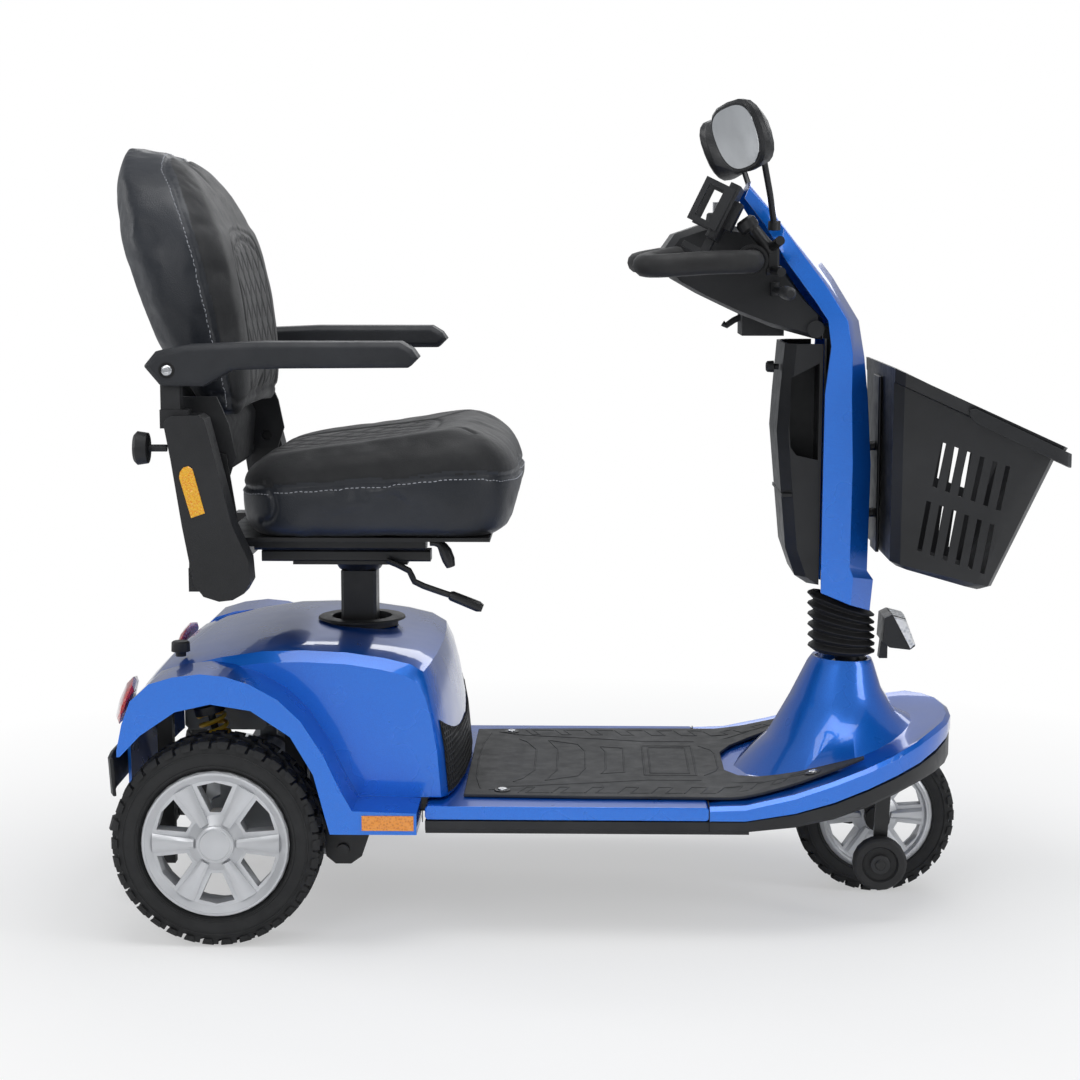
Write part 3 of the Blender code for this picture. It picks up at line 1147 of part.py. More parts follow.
def arm_post(side, tag):
    """Moulded arm post with its width bar below and the height tube above."""
    outline = [(-0.519, 0.662), (-0.515, 0.668), (-0.508, 0.671), (-0.476, 0.672), (-0.469, 0.667), (-0.464, 0.648), (-0.437, 0.536),
               (-0.418, 0.494), (-0.416, 0.466), (-0.424, 0.452), (-0.438, 0.444), (-0.455, 0.442), (-0.474, 0.448), (-0.486, 0.464),
               (-0.499, 0.536), (-0.511, 0.617)]
    shapes = [plate(outline, *sorted((side * 0.2440, side * 0.2880)))]
    shapes.append(box(-0.4970, -0.4790, *sorted((side * 0.120, side * 0.260)), 0.4510, 0.4690))
    shapes.append(box(-0.5240, -0.5000, *sorted((side * 0.2560, side * 0.2760)), 0.660, 0.7390))
    shapes.append(box(-0.5250, -0.4900, *sorted((side * 0.2540, side * 0.2780)), 0.655, 0.678))
    bore = rod((-0.512, side * 0.23, 0.727), (-0.512, side * 0.30, 0.727), 0.0058, 12)
    merged(f"arm_post_{tag}", shapes, "black_plastic", cuts=[bore])
    knob = [turned_solid([(0, 0.0045), (0.022, 0.0045), (0.023, 0.0190), (0.036, 0.0210), (0.040, 0.0170)], (-0.5190, side * 0.266, 0.6300), (-1, 0, 0), 20)]
    merged(f"arm_height_knob_{tag}", knob, "black_plastic", pivot=(-0.5190, side * 0.266, 0.630))


def armrest(side, tag):
    """Padded arm that hinges up on the arm post's tube."""
    outline = [(-0.541, 0.732), (-0.526, 0.750), (-0.489, 0.757), (-0.397, 0.761), (-0.229, 0.761), (-0.214, 0.752), (-0.207, 0.742),
               (-0.219, 0.730), (-0.373, 0.729), (-0.434, 0.727), (-0.469, 0.707), (-0.521, 0.708)]
    rings = []
    for y, inset in ((0.2380, 0.006), (0.2430, 0.0), (0.2890, 0.0), (0.2940, 0.006)):
        rings.append([(x, side * y, z) for x, z in (offset_outline(outline, inset) if inset else outline)])
    slot = plate([(-0.560, 0.690), (-0.560, 0.7440), (-0.478, 0.7440), (-0.478, 0.690)], *sorted((side * 0.2545, side * 0.2775)))
    pin = rod((-0.512, side * 0.2420, 0.727), (-0.512, side * 0.2880, 0.727), 0.0052, 12)
    obj = merged(f"armrest_{tag}", [loft(rings)], "black_plastic", pivot=(-0.512, side * 0.266, 0.727), cuts=[slot])
    helper = make(f"armrest_{tag}_pin", pin.verts, pin.faces, "black_plastic", cutter=True)
    add_boolean(obj, helper, "UNION")


def seat_levers():
    path = smooth_path([(-0.262, -0.128, 0.4710), (-0.233, -0.132, 0.4580), (-0.226, -0.134, 0.4440), (-0.200, -0.138, 0.4340), (-0.178, -0.140, 0.4270)], 2)
    shapes = [swept(path, 0.0042, 8)]
    shapes.append(turned_solid([(0, 0.0052), (0.003, 0.0068), (0.040, 0.0074), (0.046, 0.0050)], (-0.180, -0.140, 0.4275), (0.93, -0.02, -0.37), 12))
    merged("swivel_lever", shapes, "black_steel", pivot=(-0.262, -0.128, 0.471))
    paddle = smooth_path([(-0.204, -0.158, 0.4985), (-0.192, -0.158, 0.4975), (-0.184, -0.158, 0.4870), (-0.177, -0.158, 0.4670)], 2)
    shapes = [swept(paddle, [0.0045, 0.0045, 0.0055, 0.0070, 0.0085, 0.0085, 0.0060], 10)]
    merged("slide_lever", shapes, "black_plastic", pivot=(-0.204, -0.158, 0.4985))


def main():
    clear_scene()
    wheels()
    chassis_frame()
    drive_unit()
    both_sides(shock)
    batteries_and_controller()
    anti_tip_wheels()
    rear_loop()
    front_cowl()
    deck_shell()
    deck_pan()
    floor_mat()
    rear_hood()
    post_bezel()
    hood_details()
    steering_fork()
    steering_bellows()
    headlight()
    tiller_front_cover()
    tiller_rear_cover()
    tiller_mast()
    console()
    both_sides(handle_loop)
    both_sides(throttle_lever)
    dash_controls()
    both_sides(mirror)
    phone_holder()
    basket_set()
    seat_supports()
    seat_cushion()
    seat_back()
    both_sides(arm_post)
    both_sides(armrest)
    seat_levers()


main()
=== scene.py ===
"""Looks of the three-wheeled mobility scooter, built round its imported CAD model."""

import json
import math

import bmesh
import bpy
import numpy as np
from mathutils import Matrix, Vector
from mathutils.bvhtree import BVHTree

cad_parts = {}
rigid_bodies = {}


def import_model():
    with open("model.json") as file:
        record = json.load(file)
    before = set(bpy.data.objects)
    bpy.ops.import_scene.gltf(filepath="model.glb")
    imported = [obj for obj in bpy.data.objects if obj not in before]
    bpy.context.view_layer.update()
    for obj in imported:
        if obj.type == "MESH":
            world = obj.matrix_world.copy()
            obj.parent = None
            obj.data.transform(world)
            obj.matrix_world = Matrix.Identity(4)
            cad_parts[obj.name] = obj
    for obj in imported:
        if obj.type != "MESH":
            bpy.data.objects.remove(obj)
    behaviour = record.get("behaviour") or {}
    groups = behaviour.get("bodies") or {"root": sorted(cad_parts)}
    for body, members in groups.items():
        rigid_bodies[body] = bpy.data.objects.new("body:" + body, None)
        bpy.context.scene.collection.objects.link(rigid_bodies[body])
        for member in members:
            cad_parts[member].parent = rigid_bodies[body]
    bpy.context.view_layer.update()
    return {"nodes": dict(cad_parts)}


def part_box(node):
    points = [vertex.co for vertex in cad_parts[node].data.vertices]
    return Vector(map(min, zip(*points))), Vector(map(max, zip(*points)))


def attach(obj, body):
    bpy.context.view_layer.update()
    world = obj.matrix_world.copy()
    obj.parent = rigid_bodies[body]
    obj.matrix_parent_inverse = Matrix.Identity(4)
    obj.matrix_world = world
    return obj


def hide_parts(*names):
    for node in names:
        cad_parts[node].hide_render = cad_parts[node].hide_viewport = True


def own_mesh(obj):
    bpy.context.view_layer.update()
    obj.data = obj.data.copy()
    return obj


for start_object in list(bpy.data.objects):
    bpy.data.objects.remove(start_object, do_unlink=True)
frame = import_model()
NODES = frame["nodes"]
SHIFT = 0.0133
REAR_WHEEL = (-0.467 + SHIFT, 0.248, 0.133)
FRONT_WHEEL = (0.392 + SHIFT, 0.0, 0.108)
MIRROR_CENTRE = (0.1810, 0.192, 1.0090)
MIRROR_TOE = 24  # degrees, outward, as in the CAD


# ---------------------------------------------------------------- materials
class Look:
    """A procedural material: a Principled shader with a few textures in object space."""

    def __init__(self, name, colour, rough, metallic=0.0, **inputs):
        self.material = bpy.data.materials.new(name)
        self.material.use_nodes = True
        self.tree = self.material.node_tree
        self.shader = self.tree.nodes["Principled BSDF"]
        self.colour = colour
        self.set("Base Color", (*colour, 1.0))
        self.set("Roughness", rough)
        self.set("Metallic", metallic)
        for key, value in inputs.items():
            self.set(key.replace("_", " "), value)
        self.place = self.tree.nodes.new("ShaderNodeTexCoord").outputs["Object"]
        self.normal = None

    def set(self, socket, value):
        self.shader.inputs[socket].default_value = value

    def node(self, kind, **settings):
        made = self.tree.nodes.new(kind)
        for key, value in settings.items():
            setattr(made, key, value)
        return made

    def link(self, source, target):
        self.tree.links.new(source, target)

    def noise(self, scale, detail=2.0, stretch=None):
        made = self.node("ShaderNodeTexNoise")
        made.inputs["Scale"].default_value = scale
        made.inputs["Detail"].default_value = detail
        vector = self.place
        if stretch:
            mapping = self.node("ShaderNodeMapping")
            mapping.inputs["Scale"].default_value = stretch
            self.link(self.place, mapping.inputs["Vector"])
            vector = mapping.outputs["Vector"]
        self.link(vector, made.inputs["Vector"])
        return made.outputs["Fac"]

    def cells(self, scale, feature="F1", output="Distance"):
        made = self.node("ShaderNodeTexVoronoi", feature=feature)
        made.inputs["Scale"].default_value = scale
        self.link(self.place, made.inputs["Vector"])
        return made.outputs[output]

    def ranged(self, source, low, high, new_low, new_high):
        made = self.node("ShaderNodeMapRange")
        for socket, value in zip(("From Min", "From Max", "To Min", "To Max"),
            (low, high, new_low, new_high)):
            made.inputs[socket].default_value = value
        self.link(source, made.inputs["Value"])
        return made.outputs["Result"]

    def vary_rough(self, source, low, high):
        self.link(self.ranged(source, 0.3, 0.7, low, high), self.shader.inputs["Roughness"])
        return self

    def vary_colour(self, source, other, low=0.35, high=0.65):
        mix = self.node("ShaderNodeMix", data_type="RGBA")
        mix.inputs["A"].default_value = (*self.colour, 1.0)
        mix.inputs["B"].default_value = (*other, 1.0)
        self.link(self.ranged(source, low, high, 0.0, 1.0), mix.inputs["Factor"])
        self.link(mix.outputs["Result"], self.shader.inputs["Base Color"])
        return self

    def bump(self, source, strength, depth):
        made = self.node("ShaderNodeBump")
        made.inputs["Strength"].default_value = strength
        made.inputs["Distance"].default_value = depth
        self.link(source, made.inputs["Height"])
        if self.normal:
            self.link(self.normal, made.inputs["Normal"])
        self.normal = made.outputs["Normal"]
        self.link(self.normal, self.shader.inputs["Normal"])
        return self


def blue_paint():
    look = Look("blue_paint", (0.003, 0.160, 0.78), 0.30, 0.35, Coat_Weight=1.0, Coat_Roughness=0.035)
    flakes = look.cells(2600.0, output="Color")
    look.vary_colour(flakes, (0.008, 0.250, 0.95), 0.25, 0.95)
    facing = look.node("ShaderNodeLayerWeight")
    facing.inputs["Blend"].default_value = 0.35
    mix = look.node("ShaderNodeMix", data_type="RGBA")
    look.link(facing.outputs["Facing"], mix.inputs["Factor"])
    base = look.shader.inputs["Base Color"].links[0].from_socket
    look.link(base, mix.inputs["A"])
    mix.inputs["B"].default_value = (0.001, 0.055, 0.42, 1.0)
    look.link(mix.outputs["Result"], look.shader.inputs["Base Color"])
    look.vary_rough(look.noise(18.0), 0.26, 0.33)
    look.bump(look.noise(900.0), 0.03, 0.0002)
    return look.material


def moulded(name, colour, grain, strength, rough):
    look = Look(name, colour, rough)
    lighter = tuple(c * 1.5 + 0.003 for c in colour)
    look.vary_colour(look.noise(9.0, 3.0), lighter)
    look.vary_rough(look.noise(60.0, 3.0), rough - 0.05, rough + 0.08)
    look.bump(look.noise(grain, 3.0), strength, 0.0005)
    look.bump(look.cells(grain * 0.7), strength * 0.5, 0.0003)
    return look.material


def vinyl(name, colour, rough):
    look = Look(name, colour, rough, Sheen_Weight=0.12, Sheen_Roughness=0.4)
    look.vary_colour(look.noise(7.0, 4.0), tuple(c * 1.45 + 0.002 for c in colour))
    look.vary_rough(look.noise(45.0, 3.0), rough - 0.06, rough + 0.08)
    look.bump(look.cells(620.0, "F1"), 0.32, 0.0006)
    look.bump(look.noise(1500.0, 2.0), 0.15, 0.0003)
    look.bump(look.noise(26.0, 3.0), 0.16, 0.0030)
    return look.material


def prism_lens(name, colour, scale):
    look = Look(name, colour, 0.12, 0.0, Coat_Weight=1.0, Coat_Roughness=0.03, IOR=1.5)
    # Painted glint: the lens is lighter towards the edges of the prism cells, where facets catch light; the
    # bump below gives the facets their shape.
    look.vary_colour(look.cells(scale), tuple(min(1.0, c * 1.7 + 0.02) for c in colour), 0.1, 0.6)
    look.bump(look.cells(scale), 0.55, 0.0012)
    return look.material


def metal(name, colour, rough, grain=500.0, metallic=1.0, strength=0.06):
    look = Look(name, colour, rough, metallic)
    look.vary_rough(look.noise(30.0, 4.0), rough - 0.05, rough + 0.10)
    look.vary_colour(look.noise(12.0, 3.0), tuple(c * 0.82 for c in colour))
    look.bump(look.noise(grain, 2.0), strength, 0.0003)
    return look.material


MAT = {
    "blue": blue_paint(),
    "plastic": moulded("black_plastic", (0.0085, 0.0090, 0.0105), 1300.0, 0.30, 0.50),
    "plastic_fine": moulded("black_plastic_fine", (0.0115, 0.0120, 0.0135), 2400.0, 0.16, 0.40),
    "arm": moulded("arm_skin", (0.0115, 0.0130, 0.0165), 900.0, 0.34, 0.52),
    "steel_black": moulded("black_steel", (0.0110, 0.0112, 0.0120), 2000.0, 0.12, 0.33),
    "rubber": moulded("black_rubber", (0.0120, 0.0120, 0.0128), 700.0, 0.20, 0.62),
    "tyre": moulded("tyre_rubber", (0.0105, 0.0108, 0.0115), 420.0, 0.16, 0.66),
    "mat": moulded("mat_rubber", (0.0260, 0.0270, 0.0290), 1500.0, 0.40, 0.62),
    "vinyl": vinyl("seat_vinyl", (0.0115, 0.0140, 0.0195), 0.42),
    "vinyl_matt": vinyl("seat_vinyl_matt", (0.0075, 0.0080, 0.0095), 0.60),
    "rim": metal("silver_rim", (0.70, 0.71, 0.73), 0.34, metallic=0.55),
    "alloy": metal("cast_alloy", (0.33, 0.34, 0.35), 0.45, 220.0, strength=0.25),
    "bright": metal("key_steel", (0.72, 0.73, 0.75), 0.22),
    "spring": metal("spring_yellow", (0.86, 0.50, 0.03), 0.32, metallic=0.15),
    "battery": moulded("battery_case", (0.045, 0.046, 0.052), 900.0, 0.2, 0.5),
    "red": prism_lens("red_lens", (0.42, 0.006, 0.004), 260.0),
    "amber": prism_lens("amber_lens", (0.95, 0.30, 0.004), 330.0),
    "orange": prism_lens("orange_lens", (0.72, 0.20, 0.008), 330.0),
    "glass": metal("mirror_glass", (0.85, 0.87, 0.89), 0.06, strength=0.0),
    "thread": moulded("grey_thread", (0.30, 0.31, 0.34), 3000.0, 0.4, 0.7),
    # Near-black: the real dark joints of the deck and the armrest screw washer, and painted shade behind the
    # grille holes.
    "dark": moulded("near_black_joint_and_painted_shade", (0.004, 0.004, 0.0045), 900.0, 0.1, 0.8),
    # Light grey lens colour: painted reflection of the bright chrome bowl behind the clear headlight lens, with
    # painted glints on its prism cells.
    "lamp": prism_lens("lamp_lens_painted_reflection", (0.62, 0.65, 0.68), 190.0),
}

NODE_LOOK = {
    "rear_hood": "blue", "front_cowl": "blue", "deck_shell": "blue", "tiller_front_cover": "blue",
    "floor_mat": "mat", "tail_lamp_left": "red", "tail_lamp_right": "red", "drive_unit": "alloy",
    "motor_controller": "alloy", "battery_pack": "battery", "ignition_key": "bright",
    "armrest_left": "arm", "armrest_right": "arm", "steering_bellows": "rubber",
    "handle_loop_left": "rubber", "handle_loop_right": "rubber",
    "front_anti_tip_wheel_left": "rubber", "front_anti_tip_wheel_right": "rubber",
    "deck_pan": "plastic_fine", "tiller_rear_cover": "plastic_fine", "mirror_left": "plastic_fine",
    "mirror_right": "plastic_fine", "basket": "plastic_fine", "basket_handle": "plastic_fine",
    "headlight": "plastic_fine", "console": "plastic", "rear_left_rim": "rim", "rear_right_rim": "rim",
    "front_rim": "rim",
}
STEEL_NODES = (
    "chassis_frame", "rear_bar", "steering_fork", "tiller_mast", "basket_bracket", "seat_post",
    "seat_swivel", "seat_pan", "swivel_lever", "slide_lever", "phone_arm",
)
BEVELS = {
    "rear_hood": 0.0030, "front_cowl": 0.0025, "deck_shell": 0.0020, "tiller_front_cover": 0.0022,
    "tiller_rear_cover": 0.0018, "armrest_left": 0.0030, "armrest_right": 0.0030, "console": 0.0018,
    "arm_post_left": 0.0016, "arm_post_right": 0.0016, "deck_pan": 0.0010, "basket": 0.0008,
    "floor_mat": 0.0010, "battery_pack": 0.0030, "rear_valance": 0.0015,
}


def dress(node, material, bevel):
    """Give a CAD node its material, soft edges and smooth faces."""
    mesh = NODES[node].data
    mesh.materials.clear()
    mesh.materials.append(material)
    obj = NODES[node]
    weld = obj.modifiers.new("weld", "WELD")
    weld.merge_threshold = 2e-5
    soft = obj.modifiers.new("edge", "BEVEL")
    soft.width = bevel
    soft.segments = 2
    soft.limit_method = "ANGLE"
    soft.angle_limit = math.radians(32)
    soft.harden_normals = False
    obj.modifiers.new("normals", "WEIGHTED_NORMAL").keep_sharp = False
    mesh.shade_smooth()


for node_name in NODES:
    look_name = "steel_black" if node_name in STEEL_NODES else NODE_LOOK.get(node_name, "plastic")
    dress(node_name, MAT[look_name], BEVELS.get(node_name, 0.0007))
folds = NODES["steering_bellows"].modifiers
folds["edge"].width = 0.0022
folds["edge"].segments = 4
folds["edge"].limit_method = "ANGLE"


# ---------------------------------------------------------------- mesh helpers
class Build:
    """Collects vertices and faces of one visual piece."""

    def __init__(self):
        self.verts = []
        self.faces = []
        self.marks = []

    def add(self, verts, faces, mark=0):
        start = len(self.verts)
        self.verts += [Vector(v) for v in verts]
        self.faces += [tuple(start + i for i in face) for face in faces]
        self.marks += [mark] * len(faces)
        return self

    def loft(self, rings, mark=0, caps=True, closed=True):
        count = len(rings[0])
        faces = []
        for r in range(len(rings) - 1):
            for k in range(count if closed else count - 1):
                n = (k + 1) % count
                faces.append((r * count + k, r * count + n, (r + 1) * count + n, (r + 1) * count + k))
        if caps:
            faces.append(tuple(reversed(range(count))))
            faces.append(tuple(range((len(rings) - 1) * count, len(rings) * count)))
        return self.add([p for ring in rings for p in ring], faces, mark)

    def lathe(self, stations, centre, axis, count=32, mark=0, caps=True):
        axis = Vector(axis).normalized()
        side = axis.orthogonal().normalized()
        other = axis.cross(side)
        rings = []
        for along, radius in stations:
            ring = []
            for k in range(count):
                t = 2 * math.pi * k / count
                ring.append(Vector(centre) + axis * along +
                    (side * math.cos(t) + other * math.sin(t)) * max(radius, 1e-5))
            rings.append(ring)
        return self.loft(rings, mark, caps)

    def tube(self, points, radius, count=8, mark=0):
        points = [Vector(p) for p in points]
        rings = []
        side = None
        for i, point in enumerate(points):
            ahead = points[min(i + 1, len(points) - 1)] - points[max(i - 1, 0)]
            ahead.normalize()
            side = (ahead.orthogonal() if side is None else side - ahead * side.dot(ahead)).normalized()
            other = ahead.cross(side)
            rings.append([point + (side * math.cos(2 * math.pi * k / count) +
                        other * math.sin(2 * math.pi * k / count)) * radius for k in range(count)])
        return self.loft(rings, mark)

    def plate(self, outline, normal, depth, inset=0.0, mark=0):
        """A flat plate standing proud along normal, with an optional chamfered top."""
        outline = [Vector(p) for p in outline]
        normal = Vector(normal).normalized()
        middle = sum(outline, Vector()) / len(outline)
        top = []
        for p in outline:
            away = (p - middle).normalized()
            top.append(p + normal * depth - away * inset)
        shoulder = [p + normal * max(depth - inset, depth * 0.4) for p in outline]
        rings = [outline, shoulder, top] if inset else [outline, top]
        return self.loft(rings, mark)

    def piece(self, name, materials, body, slot, smooth=38.0):
        mesh = bpy.data.meshes.new(name)
        mesh.from_pydata(self.verts, [], self.faces)
        for material in materials:
            mesh.materials.append(material)
        mesh.polygons.foreach_set("material_index", self.marks)
        work = bmesh.new()
        work.from_mesh(mesh)
        bmesh.ops.recalc_face_normals(work, faces=work.faces)
        work.to_mesh(mesh)
        work.free()
        mesh.shade_smooth()
        mesh.set_sharp_from_angle(angle=math.radians(smooth))
        obj = bpy.data.objects.new(name, mesh)
        bpy.context.scene.collection.objects.link(obj)
        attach(obj, body)
        return obj


def node_tree(node):
    """Ray-casting tree of a CAD node at rest."""
    mesh = NODES[node].data
    return BVHTree.FromPolygons([v.co.copy() for v in mesh.vertices],
        [tuple(p.vertices) for p in mesh.polygons])


def row(points, y):
    """Side-view points (x, z) on the plane y, in the row frame."""
    return [(x + SHIFT, y, z) for x, z in points]


# ---------------------------------------------------------------- wheels
def tyre(name, node, body, centre, radius, bead, width, lugs):
    """Tyre with smooth sidewalls, staggered shoulder blocks and centre blocks."""
    half = width / 2
    depth = 0.0042
    build = Build()
    profile = [
        (-0.80, bead), (-0.93, bead + 0.10 * (radius - bead)), (-0.995, bead + 0.34 * (radius - bead)),
        (-0.985, bead + 0.55 * (radius - bead)), (-0.93, bead + 0.74 * (radius - bead)),
        (-0.80, radius - depth - 0.0040), (-0.55, radius - depth - 0.0012), (0.0, radius - depth),
    ]
    profile += [(-a, r) for a, r in reversed(profile[:-1])]
    rings = []
    count = 96
    for k in range(count):
        t = 2 * math.pi * k / count
        rings.append([(centre[0] + r * math.cos(t), centre[1] + a * half,
                    centre[2] + r * math.sin(t)) for a, r in profile])
    rings.append(rings[0])
    build.loft(rings, caps=False)
    step = 2 * math.pi / lugs

    def block(angle, a0, a1, wide0, wide1, skew):
        """One tread block: from a0 to a1 across the tyre, as shares of its half width."""
        rings = []
        for rise, shrink in ((-0.0035, 1.0), (0.62, 0.97), (1.0, 0.86)):
            ring = []
            for a, wide in ((a0, wide0), (a1, wide1)):
                lift = depth * rise if rise > 0 else rise
                base = radius - depth - 0.012 * max(0.0, abs(a) - 0.55) ** 1.5
                middle = (a0 + a1) / 2
                across = middle + (a - middle) * shrink
                for sign in ((-1, 1) if a == a0 else (1, -1)):
                    t = angle + skew * (a - a0) + sign * wide * step * 0.5 * shrink
                    r = base + lift
                    ring.append((centre[0] + r * math.cos(t), centre[1] + across * half,
                            centre[2] + r * math.sin(t)))
            rings.append(ring)
        build.loft(rings)

    for i in range(lugs):
        angle = i * step
        for s in (-1, 1):
            offset = 0.5 * step if s > 0 else 0.0
            block(angle + offset, s * 0.42, s * 0.94, 0.52, 0.62, s * 0.10)
            block(angle + offset + 0.5 * step, s * 0.05, s * 0.40, 0.55, 0.48, -s * 0.16)
        for s in (-1, 1):
            offset = 0.5 * step if s > 0 else 0.0
            side_block(build, centre, radius, bead, half, s, angle + offset, step)
    ring_count = 72
    for s in (-1, 1):
        for share in (0.16, 0.58):
            r = bead + share * (radius - bead)
            y = centre[1] + s * half * (0.955 if share < 0.3 else 0.985)
            points = [(centre[0] + r * math.cos(2 * math.pi * k / ring_count), y,
                    centre[2] + r * math.sin(2 * math.pi * k / ring_count)) for k in range(ring_count + 1)]
            build.tube(points, 0.0011, 6)
    obj = build.piece(name, [MAT["tyre"]], body, "tyre_rubber", 32.0)
    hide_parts(node)
    return obj


def side_block(build, centre, radius, bead, half, s, angle, step):
    """The part of a shoulder lug that runs down the sidewall."""
    rings = []
    for share, out, wide in ((0.96, 0.86, 0.60), (0.86, 0.965, 0.56), (0.74, 1.0, 0.44)):
        r = bead + share * (radius - bead)
        ring = []
        for y_out in (out - 0.09, out + 0.012):
            for sign in ((-1, 1) if y_out < out else (1, -1)):
                t = angle + sign * wide * step * 0.5
                ring.append((centre[0] + r * math.cos(t), centre[1] + s * half * y_out,
                        centre[2] + r * math.sin(t)))
        rings.append(ring)
    build.loft(rings)


def wheel_face(name, body, centre, half, bead, side):
    """Faceted ribs on the six spokes, the rim lip and a plain domed centre cap."""
    k = bead / 0.094
    build = Build()
    for i in range(6):
        turn = math.radians(60 + 60 * i)
        out = Vector((math.cos(turn), 0, math.sin(turn)))
        across = Vector((-math.sin(turn), 0, math.cos(turn)))
        for r_in, r_out, w_in, w_out, base, top in ((0.0270, 0.0800, 0.0062, 0.0128, 0.60, 0.92),):
            rings = []
            for r, w, rise in ((r_in, w_in, 0.98), (0.052, (w_in + w_out) / 2 - 0.0008, 0.90),
                (r_out, w_out, 0.88)):
                middle = Vector(centre) + out * r * k
                low = side * half * 0.62
                high = side * half * rise
                ring = []
                for y, spread in ((low, 1.0), (high - side * 0.0022, 0.98), (high, 0.50), (high, -0.50),
                    (high - side * 0.0022, -0.98), (low, -1.0)):
                    point = middle + across * w * k * spread
                    ring.append((point.x, centre[1] + y, point.z))
                rings.append(ring)
            build.loft(rings)
    lip = [(0.80 * half, bead - 0.0065), (1.00 * half, bead - 0.0048), (1.01 * half, bead - 0.0022),
        (0.95 * half, bead - 0.0010), (0.80 * half, bead - 0.0012)]
    count = 72
    rings = []
    for j in range(count + 1):
        t = 2 * math.pi * j / count
        rings.append([(centre[0] + r * math.cos(t), centre[1] + side * a,
                    centre[2] + r * math.sin(t)) for a, r in lip])
    build.loft(rings, caps=False)
    cap = [(0.96 * half, 0.0245 * k), (1.02 * half, 0.0238 * k), (1.05 * half, 0.0215 * k),
        (1.045 * half, 0.0200 * k), (1.075 * half, 0.0185 * k), (1.10 * half, 0.0100 * k),
        (1.11 * half, 0.0)]
    build.lathe(cap, centre, (0, side, 0), 40)
    return build.piece(name, [MAT["rim"]], body, "silver_rim", 24.0)


for tag, s in (("left", 1), ("right", -1)):
    hub = (REAR_WHEEL[0], s * REAR_WHEEL[1], REAR_WHEEL[2])
    tyre(f"rear_{tag}_tyre_tread", f"rear_{tag}_tyre", f"rear_wheel_{tag}", hub, 0.133, 0.094, 0.074, 34)
    wheel_face(f"rear_{tag}_wheel_face", f"rear_wheel_{tag}", hub, 0.037, 0.094, s)
tyre("front_tyre_tread", "front_tyre", "front_wheel", FRONT_WHEEL, 0.108, 0.074, 0.062, 30)
wheel_face("front_wheel_face_right", "front_wheel", FRONT_WHEEL, 0.031, 0.074, -1)


# ---------------------------------------------------------------- shocks
def coil_over(tag, s):
    """Coil spring round its damper."""
    bottom = Vector((-0.465 + SHIFT, s * 0.172, 0.186))
    top = Vector((-0.4935 + SHIFT, s * 0.172, 0.296))
    along = (top - bottom).normalized()
    side = along.orthogonal().normalized()
    other = along.cross(side)
    length = (top - bottom).length
    build = Build()
    turns, count = 6.5, 130
    points = []
    for i in range(count + 1):
        t = 2 * math.pi * turns * i / count
        at = 0.017 + (length - 0.036) * i / count
        points.append(bottom + along * at + (side * math.cos(t) + other * math.sin(t)) * 0.0168)
    build.tube(points, 0.0029, 8, 0)
    build.lathe([(0.0, 0.008), (0.012, 0.008), (0.013, 0.0195), (0.0165, 0.0195), (0.017, 0.0095),
            (0.060, 0.0095), (0.062, 0.0050), (length - 0.020, 0.0050), (length - 0.019, 0.0200),
            (length - 0.009, 0.0200), (length - 0.008, 0.009), (length, 0.009)], bottom, along, 20, 1)
    obj = build.piece(f"rear_shock_{tag}_coil", [MAT["spring"], MAT["steel_black"]], "chassis",
        "spring_steel", 40.0)
    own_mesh(obj)
    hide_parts(f"rear_shock_{tag}")


coil_over("left", 1)
coil_over("right", -1)


# ---------------------------------------------------------------- upholstery
def superellipse(half_x, half_y, power, count):
    ring = []
    for k in range(count):
        t = 2 * math.pi * k / count
        c, s = math.cos(t), math.sin(t)
        ring.append((half_x * math.copysign(abs(c) ** (2 / power), c),
                half_y * math.copysign(abs(s) ** (2 / power), s)))
    return ring


def baked(obj):
    """Apply every modifier of a mesh piece."""
    graph = bpy.context.evaluated_depsgraph_get()
    mesh = bpy.data.meshes.new_from_object(obj.evaluated_get(graph))
    obj.modifiers.clear()
    obj.data = mesh
    return obj


def points_of(mesh):
    flat = np.empty(len(mesh.vertices) * 3)
    mesh.vertices.foreach_get("co", flat)
    return flat.reshape(-1, 3)


def stuffed(name, rings, cap):
    """A pad swollen by cloth pressure from its slightly smaller shape, then smoothed."""
    build = Build().loft(rings)
    mesh = bpy.data.meshes.new(name)
    mesh.from_pydata(build.verts, [], build.faces)
    obj = bpy.data.objects.new(name, mesh)
    bpy.context.scene.collection.objects.link(obj)
    voxels = obj.modifiers.new("voxels", "REMESH")
    voxels.mode = "VOXEL"
    voxels.voxel_size = 0.0055
    baked(obj)
    even = obj.modifiers.new("even", "SMOOTH")
    even.factor = 0.5
    even.iterations = 4
    baked(obj)
    start = points_of(obj.data)
    cloth = obj.modifiers.new("cloth", "CLOTH")
    cloth.settings.use_pressure = True
    cloth.settings.uniform_pressure_force = 4.0
    cloth.settings.effector_weights.gravity = 0.0
    cloth.settings.quality = 4
    cloth.point_cache.frame_start = 1
    cloth.point_cache.frame_end = 20
    for step in range(1, 21):
        bpy.context.scene.frame_set(step)
    baked(obj)
    bpy.context.scene.frame_set(1)
    moved = points_of(obj.data) - start
    length = np.linalg.norm(moved, axis=1, keepdims=True)
    moved *= np.minimum(1.0, cap / np.maximum(length, 1e-9))
    obj.data.vertices.foreach_set("co", (start + moved).ravel())
    calm = obj.modifiers.new("calm", "SMOOTH")
    calm.factor = 0.5
    calm.iterations = 2
    finer = obj.modifiers.new("finer", "SUBSURF")
    finer.levels = 1
    finer.render_levels = 1
    return baked(obj)


